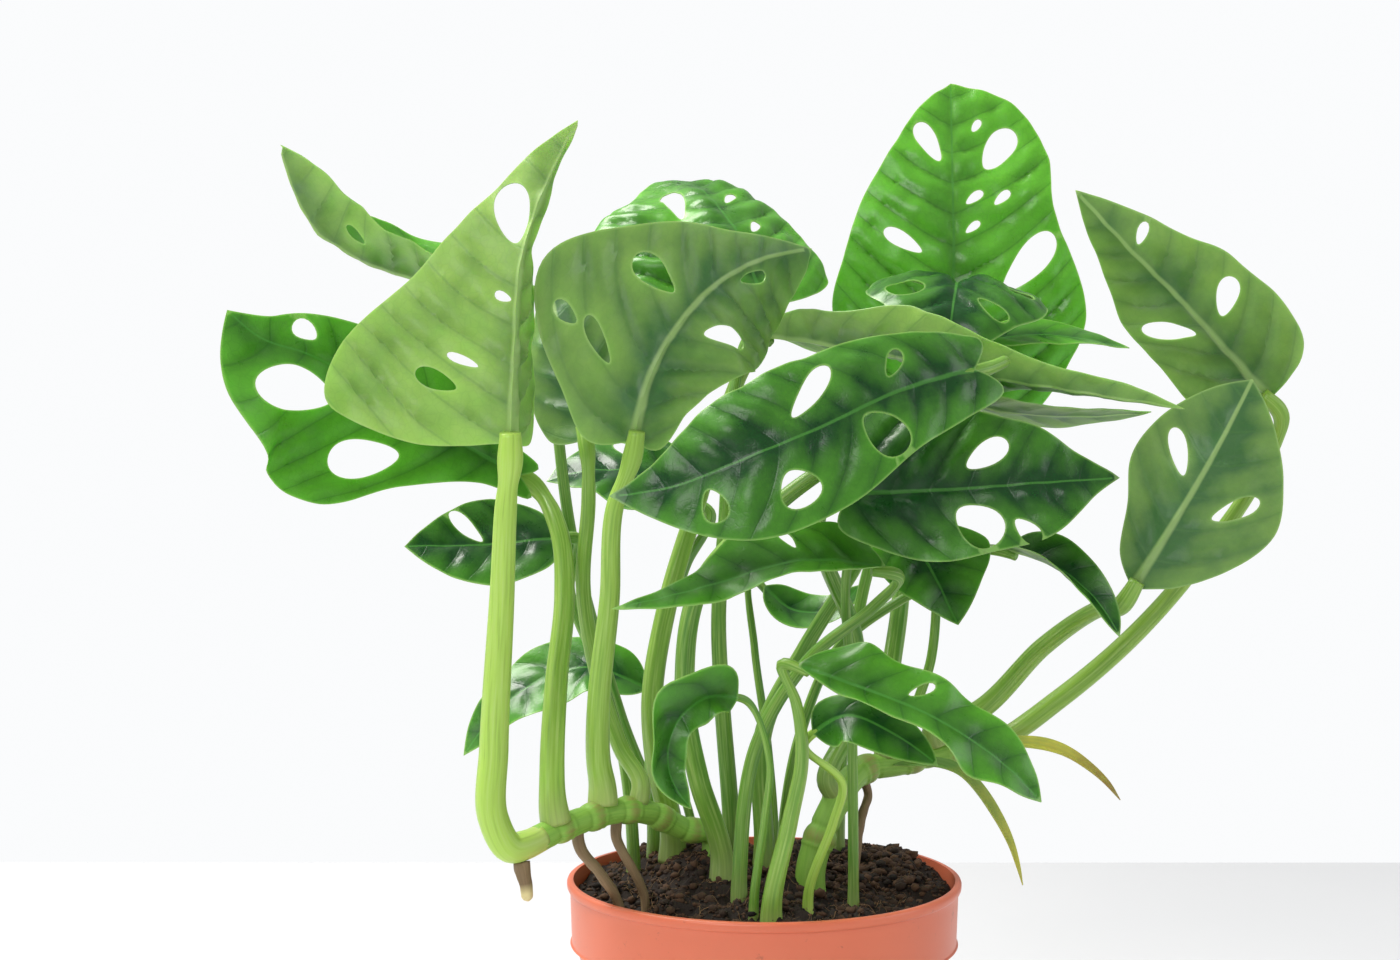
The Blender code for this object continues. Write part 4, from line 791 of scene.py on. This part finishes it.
def leaf_skin(name, deep, bright, vein, rib, margin, rough, show, wide, glow):
    """Living leaf: colour from deep to bright by random tone and the leaf's paleness, with painted light and
    shade in it: brighter towards the margin as if lit through from behind, painted shade beside the midrib
    and in the vein dips, painted light on the swells between. Veins drawn by the blade's own vein lines, a
    firm margin. show: how clearly side veins and the fine net show. wide: the midrib, as a share of 1 mm.
    The net's real mesh is about 1.5 mm; it is drawn at 2.2 mm."""
    mat, tree = surface(name)
    draw, pale = read(tree, "drawing").outputs["Vector"], read(tree, "pale").outputs["Fac"]
    to_vein = put(tree, "Math", {0: read(tree, "phase").outputs["Fac"], 1: 0.5}, operation="PINGPONG")
    side_vein = put(tree, "MapRange", {0: to_vein, 1: 0.012, 2: 0.05, 3: 1.0, 4: 0.0},
                    interpolation_type="SMOOTHSTEP")
    taper = put(tree, "Math", {0: read(tree, "along").outputs["Fac"], 1: 1.6, 2: 0.8},
                operation="MULTIPLY_ADD")
    off_rib = put(tree, "Math", {0: read(tree, "off_rib").outputs["Fac"], 1: taper}, operation="MULTIPLY")
    midrib = put(tree, "MapRange", {0: off_rib, 1: 0.35 * wide, 2: 1.1 * wide, 3: 1.0, 4: 0.0},
                 interpolation_type="SMOOTHSTEP")
    edge = put(tree, "MapRange", {0: read(tree, "to_edge").outputs["Fac"], 1: 0.1, 2: 0.6, 3: 1.0, 4: 0.0})
    net = put(tree, "TexVoronoi", {"Vector": draw, "Scale": 4.5, "Randomness": 0.9},
              feature="DISTANCE_TO_EDGE")
    net_line = put(tree, "MapRange", {0: net, 1: 0.0, 2: 0.09, 3: 1.0, 4: 0.0})
    cloud = put(tree, "TexNoise", {"Vector": draw, "Scale": 1.1, "Detail": 6.0, "Roughness": 0.62})
    # painted light: the blade brighter towards its margin, as if lit through from behind
    outer = put(tree, "MapRange", {0: read(tree, "to_edge").outputs["Fac"], 1: 0.0, 2: 11.0, 3: 0.3, 4: 0.0})
    # painted shade: the blade darker beside the midrib
    inner = put(tree, "MapRange", {0: read(tree, "off_rib").outputs["Fac"], 1: 1.0, 2: 10.0,
                                   3: -0.28, 4: 0.0})
    # painted shade in the vein dips, and painted light on the swells between them
    painted_vein_shade_and_light = put(tree, "MapRange", {0: to_vein, 1: 0.02, 2: 0.3, 3: -0.1, 4: 0.06})
    # mix from deep to bright: random tone and the leaf's paleness, plus the painted light and shade above
    deep_to_bright = put(tree, "Math", {0: cloud, 1: 0.6, 2: -0.3}, operation="MULTIPLY_ADD")
    for part in (outer, inner, painted_vein_shade_and_light):
        deep_to_bright = put(tree, "Math", {0: deep_to_bright, 1: part}, operation="ADD")
    deep_to_bright = put(tree, "Math", {0: pale, 1: deep_to_bright}, operation="ADD", use_clamp=True)
    base = put(tree, "Mix", {0: deep_to_bright, 6: colour(deep), 7: colour(bright)}, data_type="RGBA")
    # on the upper side the dark vein colour is painted shade of the sunken veins; below it is the veins' own
    # colour
    for line, share, over in ((net_line, 0.22 * show, vein), (side_vein, 0.5 * show, vein),
                              (midrib, 0.7, rib), (edge, 0.45, margin)):
        cover = put(tree, "Math", {0: line, 1: share}, operation="MULTIPLY")
        base = put(tree, "Mix", {0: cover, 6: base, 7: colour(over)}, data_type="RGBA")
    grain = put(tree, "TexNoise", {"Vector": draw, "Scale": 9.0, "Detail": 2.0})
    gloss = put(tree, "MapRange", {0: cloud, 1: 0.3, 2: 0.7, 3: rough - 0.06, 4: rough + 0.08})
    height = put(tree, "Math", {0: net_line, 1: -0.35, 2: grain}, operation="MULTIPLY_ADD")
    height = put(tree, "Math", {0: side_vein, 1: -0.9, 2: height}, operation="MULTIPLY_ADD")
    bump = put(tree, "Bump", {"Strength": 0.35, "Distance": 0.00012, "Height": height})
    thin = put(tree, "MapRange", {0: pale, 1: 0.0, 2: 1.0, 3: glow * 0.3, 4: glow})
    shader = put(tree, "BsdfPrincipled", {"Base Color": base, "Roughness": gloss, "Normal": bump, "IOR": 1.45,
                                          "Subsurface Weight": thin, "Subsurface Radius": FLESH_SPREAD,
                                          "Subsurface Scale": FLESH_DEPTH})
    put(tree, "OutputMaterial", {"Surface": shader})
    return mat


def waxed_leaf_upper():
    """Monstera leaf, upper side, grown with a wax cuticle: deep green with a soft broad shine."""
    # the vein colour #0E4716 is painted shade: dark lines standing for the shade in the sunken veins
    return leaf_skin("waxed_leaf_upper", "#0B4312", "#64B02E", "#0E4716", "#4C9038", "#A4CC74",
                     rough=0.31, show=0.4, wide=0.8, glow=0.5)


def matt_leaf_under():
    """Monstera leaf, lower side, without the wax: paler, matt, its veins and midrib standing out."""
    return leaf_skin("matt_leaf_under", "#416F3A", "#9CC25C", "#578440", "#A4C478", "#A6C67C",
                     rough=0.44, show=0.45, wide=1.6, glow=0.5)


def leaf_margin():
    """The firm clear rim that a leaf blade and its holes grow: a pale bright line where light catches it."""
    mat, tree = surface("leaf_margin")
    cloud = put(tree, "TexNoise", {"Vector": read(tree, "drawing").outputs["Vector"], "Scale": 2.0})
    base = put(tree, "Mix", {0: cloud, 6: colour("#5E9440"), 7: colour("#94BC66")}, data_type="RGBA")
    shader = put(tree, "BsdfPrincipled", {"Base Color": base, "Roughness": 0.38, "IOR": 1.45,
                                          "Subsurface Weight": 0.4, "Subsurface Radius": FLESH_SPREAD,
                                          "Subsurface Scale": FLESH_DEPTH})
    put(tree, "OutputMaterial", {"Surface": shader})
    return mat


def dying_leaf(name, fresh, vein):
    """An old leaf that the plant draws back: dull green, yellow towards the tip, then brown and papery."""
    mat, tree = surface(name)
    draw = read(tree, "drawing").outputs["Vector"]
    cloud = put(tree, "TexNoise", {"Vector": draw, "Scale": 2.2, "Detail": 5.0})
    where = put(tree, "Math", {0: cloud, 1: 0.5, 2: read(tree, "along").outputs["Fac"]},
                operation="MULTIPLY_ADD")
    where = put(tree, "Math", {0: where, 1: read(tree, "pale").outputs["Fac"]}, operation="ADD")
    yellow = put(tree, "MapRange", {0: where, 1: 0.9, 2: 1.5, 3: 0.0, 4: 1.0})
    brown = put(tree, "MapRange", {0: where, 1: 1.5, 2: 1.95, 3: 0.0, 4: 1.0})
    base = put(tree, "Mix", {0: yellow, 6: colour(fresh), 7: colour("#C9C24E")}, data_type="RGBA")
    base = put(tree, "Mix", {0: brown, 6: base, 7: colour("#9A7A3C")}, data_type="RGBA")
    lines = put(tree, "Math", {0: read(tree, "off_rib").outputs["Fac"], 1: 0.6}, operation="PINGPONG")
    lines = put(tree, "Math", {0: lines, 1: 0.4}, operation="MULTIPLY")
    base = put(tree, "Mix", {0: lines, 6: base, 7: colour(vein)}, data_type="RGBA")
    bump = put(tree, "Bump", {"Strength": 0.5, "Distance": 0.0003, "Height": cloud})
    shader = put(tree, "BsdfPrincipled", {"Base Color": base, "Roughness": 0.55, "Normal": bump,
                                          "Subsurface Weight": 0.25, "Subsurface Radius": (0.9, 1.4, 0.3),
                                          "Subsurface Scale": 0.001})
    put(tree, "OutputMaterial", {"Surface": shader})
    return mat


def smooth_stalk_skin():
    """Living stalk, grown long: smooth, paler at the foot, faint streaks along it 0.5 to 1 mm apart."""
    mat, tree = surface("smooth_stalk_skin")
    grain, run = read(tree, "grain").outputs["Vector"], read(tree, "run").outputs["Fac"]
    pale = read(tree, "pale").outputs["Fac"]
    streak = put(tree, "TexNoise", {"Vector": grain, "Scale": 5.0, "Detail": 3.0, "Roughness": 0.5})
    patch = put(tree, "TexNoise", {"Vector": grain, "Scale": 1.3, "Detail": 2.0})
    deep_to_bright = put(tree, "Math", {0: patch, 1: 0.6, 2: -0.3}, operation="MULTIPLY_ADD")
    deep_to_bright = put(tree, "Math", {0: pale, 1: deep_to_bright}, operation="ADD", use_clamp=True)
    base = put(tree, "Mix", {0: deep_to_bright, 6: colour("#3C7F25"), 7: colour("#B4DA5C")}, data_type="RGBA")
    lines = put(tree, "MapRange", {0: streak, 1: 0.48, 2: 0.72, 3: 0.0, 4: 0.4})
    base = put(tree, "Mix", {0: lines, 6: base, 7: colour("#C4DC86")}, data_type="RGBA")
    dark = put(tree, "MapRange", {0: streak, 1: 0.45, 2: 0.25, 3: 0.0, 4: 0.3})
    base = put(tree, "Mix", {0: dark, 6: base, 7: colour("#2F5F1E")}, data_type="RGBA")
    foot = put(tree, "MapRange", {0: run, 1: 0.0, 2: 0.1, 3: 0.4, 4: 0.0})
    base = put(tree, "Mix", {0: foot, 6: base, 7: colour("#B9B582")}, data_type="RGBA")
    bump = put(tree, "Bump", {"Strength": 0.3, "Distance": 0.00015, "Height": streak})
    shader = put(tree, "BsdfPrincipled", {"Base Color": base, "Roughness": 0.36, "Normal": bump, "IOR": 1.45,
                                          "Subsurface Weight": 0.25, "Subsurface Radius": FLESH_SPREAD,
                                          "Subsurface Scale": 0.001})
    put(tree, "OutputMaterial", {"Surface": shader})
    return mat


def corky_stem_skin():
    """Creeping stem: green and smooth between its joints, turning brown and corky on them."""
    mat, tree = surface("corky_stem_skin")
    grain = read(tree, "grain").outputs["Vector"]
    streak = put(tree, "TexNoise", {"Vector": grain, "Scale": 5.0, "Detail": 6.0, "Roughness": 0.7})
    joint = read(tree, "pale").outputs["Fac"]
    corky = put(tree, "Math", {0: streak, 1: 0.9, 2: joint}, operation="MULTIPLY_ADD")
    corky = put(tree, "MapRange", {0: corky, 1: 0.75, 2: 1.15, 3: 0.0, 4: 0.9})
    base = put(tree, "Mix", {0: streak, 6: colour("#62A032"), 7: colour("#A6CE5C")}, data_type="RGBA")
    base = put(tree, "Mix", {0: corky, 6: base, 7: colour("#94804E")}, data_type="RGBA")
    bump = put(tree, "Bump", {"Strength": 0.6, "Distance": 0.0004, "Height": streak})
    shader = put(tree, "BsdfPrincipled", {"Base Color": base, "Roughness": 0.48, "Normal": bump, "IOR": 1.45})
    put(tree, "OutputMaterial", {"Surface": shader})
    return mat


def root_bark():
    """Aerial root: dull brown bark cracked lengthwise, and a smooth cream growing tip."""
    mat, tree = surface("root_bark")
    grain, run = read(tree, "grain").outputs["Vector"], read(tree, "run").outputs["Fac"]
    crack = put(tree, "TexNoise", {"Vector": grain, "Scale": 4.0, "Detail": 6.0, "Roughness": 0.75})
    base = put(tree, "Mix", {0: crack, 6: colour("#4E3A28"), 7: colour("#A98F66")}, data_type="RGBA")
    tip = put(tree, "MapRange", {0: run, 1: 0.55, 2: 0.8, 3: 0.0, 4: read(tree, "pale").outputs["Fac"]})
    base = put(tree, "Mix", {0: tip, 6: base, 7: colour("#E6D69A")}, data_type="RGBA")
    bump = put(tree, "Bump", {"Strength": 0.7, "Distance": 0.0005, "Height": crack})
    shader = put(tree, "BsdfPrincipled", {"Base Color": base, "Roughness": 0.62, "Normal": bump})
    put(tree, "OutputMaterial", {"Surface": shader})
    return mat


def damp_peat():
    """Peat compost, sieved and pressed in damp: brown-black, matt, with paler flecks 1 to 2 mm across."""
    mat, tree = surface("damp_peat")
    place = put(tree, "TexCoord").outputs["Object"]
    fine = put(tree, "TexNoise", {"Vector": place, "Scale": 420.0, "Detail": 6.0, "Roughness": 0.7})
    broad = put(tree, "TexNoise", {"Vector": place, "Scale": 60.0, "Detail": 3.0})
    base = put(tree, "Mix", {0: broad, 6: colour("#0E0906"), 7: colour("#2E1E14")}, data_type="RGBA")
    bits = put(tree, "MapRange", {0: fine, 1: 0.62, 2: 0.75, 3: 0.0, 4: 0.45})
    base = put(tree, "Mix", {0: bits, 6: base, 7: colour("#6A4A32")}, data_type="RGBA")
    bump = put(tree, "Bump", {"Strength": 0.9, "Distance": 0.0009, "Height": fine})
    shader = put(tree, "BsdfPrincipled", {"Base Color": base, "Roughness": 0.88, "Normal": bump})
    put(tree, "OutputMaterial", {"Surface": shader})
    return mat


def peat_bit(name, dark, light, rough):
    """Loose bits of compost, broken not cut: each its own shade of brown, matt."""
    mat, tree = surface(name)
    place = put(tree, "TexCoord").outputs["Object"]
    fine = put(tree, "TexNoise", {"Vector": place, "Scale": 700.0, "Detail": 4.0})
    shade = put(tree, "Math", {0: fine, 1: 0.4, 2: read(tree, "pale").outputs["Fac"]},
                operation="MULTIPLY_ADD")
    shade = put(tree, "MapRange", {0: shade, 1: 0.15, 2: 1.2, 3: 0.0, 4: 1.0})
    base = put(tree, "Mix", {0: shade, 6: colour(dark), 7: colour(light)}, data_type="RGBA")
    bump = put(tree, "Bump", {"Strength": 0.7, "Distance": 0.0004, "Height": fine})
    shader = put(tree, "BsdfPrincipled", {"Base Color": base, "Roughness": rough, "Normal": bump})
    put(tree, "OutputMaterial", {"Surface": shader})
    return mat


def moulded_polypropylene():
    """Nursery pot, terracotta-coloured polypropylene, injection moulded: satin, faintly rippled by the mould,
    with dust and compost smears below the lip. Its fine texture is about 0.1 mm; it is drawn at 0.4 mm."""
    mat, tree = surface("moulded_polypropylene")
    place = put(tree, "TexCoord").outputs["Object"]
    fine = put(tree, "TexNoise", {"Vector": place, "Scale": 2500.0, "Detail": 2.0})
    flow = put(tree, "TexNoise", {"Vector": place, "Scale": 25.0, "Detail": 3.0})
    high = put(tree, "SeparateXYZ", {0: place}).outputs["Z"]
    near_lip = put(tree, "MapRange", {0: high, 1: (POT_H - 28) * MM, 2: POT_H * MM, 3: 0.0, 4: 1.0})
    dust = put(tree, "TexNoise", {"Vector": place, "Scale": 230.0, "Detail": 5.0, "Roughness": 0.75})
    specks = put(tree, "MapRange", {0: dust, 1: 0.63, 2: 0.7, 3: 0.0, 4: 0.55})
    specks = put(tree, "Math", {0: specks, 1: near_lip}, operation="MULTIPLY")
    base = put(tree, "Mix", {0: flow, 6: colour("#D96C4C"), 7: colour("#E7805F")}, data_type="RGBA")
    base = put(tree, "Mix", {0: specks, 6: base, 7: colour("#7A4632")}, data_type="RGBA")
    rough = put(tree, "MapRange", {0: flow, 1: 0.3, 2: 0.7, 3: 0.3, 4: 0.42})
    bump = put(tree, "Bump", {"Strength": 0.12, "Distance": 0.0002, "Height": fine})
    shader = put(tree, "BsdfPrincipled", {"Base Color": base, "Roughness": rough, "Normal": bump, "IOR": 1.49,
                                          "Subsurface Weight": 0.12, "Subsurface Radius": (2.0, 0.8, 0.5),
                                          "Subsurface Scale": 0.001})
    put(tree, "OutputMaterial", {"Surface": shader})
    return mat


def painted_board(name, light, dark):
    """A plain painted board for the object to stand on: matt, even, with the faintest mottle."""
    mat, tree = surface(name)
    place = put(tree, "TexCoord").outputs["Object"]
    cloud = put(tree, "TexNoise", {"Vector": place, "Scale": 6.0, "Detail": 2.0})
    base = put(tree, "Mix", {0: cloud, 6: colour(light), 7: colour(dark)}, data_type="RGBA")
    shader = put(tree, "BsdfPrincipled", {"Base Color": base, "Roughness": 0.6})
    put(tree, "OutputMaterial", {"Surface": shader})
    return mat


# ---------------------------------------------------------------- putting it together
def stands_for(piece, node):
    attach(piece, "root")
    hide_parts(node)


def from_stem(stem, fraction, way, sink):
    """Two points leaving a stem: square off it the way given, sunk into it, or straight on from its end."""
    path, r0, r1 = stem
    k = fraction * (len(path) - 1)
    i = min(int(k), len(path) - 2)
    p = path[i] * (1 - k + i) + path[i + 1] * (k - i)
    along = unit(path[i + 1] - path[i])
    if fraction >= 1:
        return [tuple(p - along * 1.5), tuple(p + along * 4)]
    way = np.asarray(way, float)
    out = unit(way - (way @ along) * along)
    start = r0 + (r1 - r0) * fraction - sink
    return [tuple(p + out * start), tuple(p + out * (start + sink + 4))]


def from_soil(x, y, r):
    z = stand(x, y, r)
    return [(x, y, z - 4.5), (x, y, z + 4)]


def stem_radius(r0, r1, joints):
    """A creeping stem that swells at each joint and steps in after it, with a fine scar ring before it."""
    def radius(s, long, turn):
        r = r0 + (r1 - r0) * s / long
        for j in joints:
            d = s - j * long
            step, scar = 0.1 * math.exp(-((d - 3.2) / 0.7) ** 2), 0.07 * math.exp(-((d + 2.6) / 0.5) ** 2)
            r *= 1 + 0.16 * math.exp(-(d / 2.4) ** 2) - step + scar
        return r * (1 + 0.03 * np.sin(3 * turn + s * 0.2))
    return radius


def root_radius(r0, r1, seed):
    def radius(s, long, turn):
        r = r0 + (r1 - r0) * s / long
        end = math.sqrt(max(0.0, 1 - max(0.0, (s - long + r1) / r1) ** 2)) if s > long - r1 else 1.0
        rough = np.array([noise.noise((math.cos(t) * 1.3, math.sin(t) * 1.3, s * 0.25 + seed)) for t in turn])
        return r * (1 + 0.18 * rough) * max(end, 0.12)
    return radius


def grow_plant():
    upper, under, margin = waxed_leaf_upper(), matt_leaf_under(), leaf_margin()
    old_upper = dying_leaf("dying_leaf_upper", "#5F8A3A", "#8FA65A")
    old_under = dying_leaf("dying_leaf_under", "#8FAA5C", "#B4C27E")
    stalk_skin, stem_skin, bark = smooth_stalk_skin(), corky_stem_skin(), root_bark()
    stems = {}
    for name, (points, r0, r1) in STEMS.items():
        line = from_soil(*points[0], r0) + list(points[1:])
        joints = JOINTS[name]
        vine = grow_cord("vine_" + name, line, stem_radius(r0, r1, joints), 24, 0.5, [stem_skin], 0.0)
        run = np.empty(len(vine.data.vertices), np.float32)
        vine.data.attributes["run"].data.foreach_get("value", run)
        near = sum(np.exp(-((run - j) / 0.035) ** 2) for j in joints)
        vine.data.attributes["pale"].data.foreach_set("value", (near * 0.5).astype(np.float32))
        stands_for(vine, "stem_" + name)
        stems[name] = (smooth_path(line, 80)[0], r0, r1)
    for k, (name, shape) in enumerate(LEAVES.items()):
        shape = dict(shape)
        old = isinstance(shape["rib"][0][0], str)
        if old:
            stem, fraction, way = shape["rib"][0]
            shape["rib"] = (from_stem(stems[stem], fraction, way, 0.8)[0],) + tuple(shape["rib"][1:])
        blade = Blade(**shape)
        skins = [old_upper, old_under, old_under] if old else [upper, under, margin]
        leaf = grow_leaf(name, blade, 1.7 * k + 0.4, skins)
        stands_for(leaf, "blade_" + name)
        if name not in STALKS:
            continue
        foot, between, r0, r1 = STALKS[name]
        on_stem = isinstance(foot[0], str)
        start = from_stem(stems[foot[0]], foot[1], UP, 1.2) if on_stem else from_soil(*foot, r0)
        root, tan, nor = blade.rib[0], blade.tangent[0], blade.normal[0]
        under_rib = root - nor * (r1 * 1.1 + 0.3)
        line = start + list(between) + [tuple(under_rib - tan * 5), tuple(under_rib + tan * 3.5)]
        swell = -0.14 if foot[1] == 1.0 else 0.18
        sheath = 0.8 if r0 > 1.7 else 0.3
        stalk = grow_cord("leafstalk_" + name, line, stalk_radius(r0, r1, sheath, swell), 24, 1.1,
                          [stalk_skin], STALK_PALE.get(name, STALK_GREEN), face=nor)
        stands_for(stalk, "stalk_" + name)
    for k, (name, (start, between, end, r0, r1)) in enumerate(ROOTS.items()):
        on_stem = isinstance(start[0], str)
        first = from_stem(stems[start[0]], start[1], DOWN, 1.0) if on_stem else [start]
        last = from_soil(*end, r1)[::-1] if len(end) == 2 else [end]
        root = grow_cord("aerial_root_" + name, first + list(between) + last, root_radius(r0, r1, k * 9.1),
                         18, 0.5, [bark], 1.0 if name == "stub" else 0.0)
        stands_for(root, "root_" + name)


def fill_pot():
    pot = build_pot([moulded_polypropylene()])
    stands_for(pot, "pot")
    soil = build_soil([damp_peat()])
    stands_for(soil, "soil")
    bit = peat_bit("peat_crumb", "#0C0705", "#563C28", 0.9)
    fibre = peat_bit("peat_fibre", "#3A281A", "#967550", 0.8)
    edge = POT_R - LIP_OVER - POT_WALL - JOIN - 1.0
    for piece in (scatter_crumbs("crumbs_fine", 5200, (0.3, 0.8), edge, [bit], 11),
                  scatter_crumbs("crumbs_coarse", 1300, (0.8, 2.1), edge - 2, [bit], 12),
                  scatter_fibres("fibres", 650, [fibre], 13)):
        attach(piece, "root")


def build_stage():
    """A pale table with its far edge behind the pot, a white ground beyond, and three soft lights."""
    def sheet(name, corners, mat):
        mesh = bpy.data.meshes.new(name)
        mesh.from_pydata(corners, [], [tuple(range(i, i + 4)) for i in range(0, len(corners), 4)])
        mesh.materials.append(mat)
        obj = bpy.data.objects.new(name, mesh)
        bpy.context.scene.collection.objects.link(obj)
    half, back = 1.1, 0.5
    sheet("table", [(-half, -half, 0), (half, -half, 0), (half, back, 0), (-half, back, 0)],
          painted_board("painted_board", "#DEDFE1", "#D9DADD"))
    for name, place, size, power, shade, aim in (
            ("key", (-0.6, 0.25, 1.25), 0.75, 22.0, "#FFFDF8", (0, 0, 0.2)),
            ("front", (-0.6, -1.3, 1.0), 0.9, 9.5, "#FFFFFF", (0, 0, 0.18)),
            ("side", (1.3, -0.2, 0.6), 0.9, 4.0, "#F7FAFF", (0, 0, 0.15))):
        data = bpy.data.lights.new(name, "AREA")
        data.shape, data.size, data.energy, data.color = "DISK", size, power, colour(shade)[:3]
        lamp = bpy.data.objects.new(name, data)
        lamp.location = place
        lamp.rotation_euler = (Vector(aim) - Vector(place)).to_track_quat("-Z", "Y").to_euler()
        bpy.context.scene.collection.objects.link(lamp)
    world = bpy.data.worlds.new("bright_room")
    world.use_nodes = True
    tree = world.node_tree
    seen = put(tree, "LightPath").outputs["Is Camera Ray"]
    strength = put(tree, "MapRange", {0: seen, 1: 0.0, 2: 1.0, 3: 0.42, 4: 0.98})
    tree.nodes["Background"].inputs["Color"].default_value = colour("#FDFEFF")
    tree.links.new(strength.outputs[0], tree.nodes["Background"].inputs["Strength"])
    bpy.context.scene.world = world
    data = bpy.data.cameras.new("viewpoint")
    data.lens, data.sensor_width = 60, 36
    camera = bpy.data.objects.new("viewpoint", data)
    camera.location, camera.rotation_euler = (-0.0195, -0.705, 0.263), (math.radians(87), 0, 0)
    bpy.context.scene.collection.objects.link(camera)
    bpy.context.scene.camera = camera
    bpy.context.scene.view_settings.view_transform = "Standard"


build_stage()
fill_pot()
grow_plant()
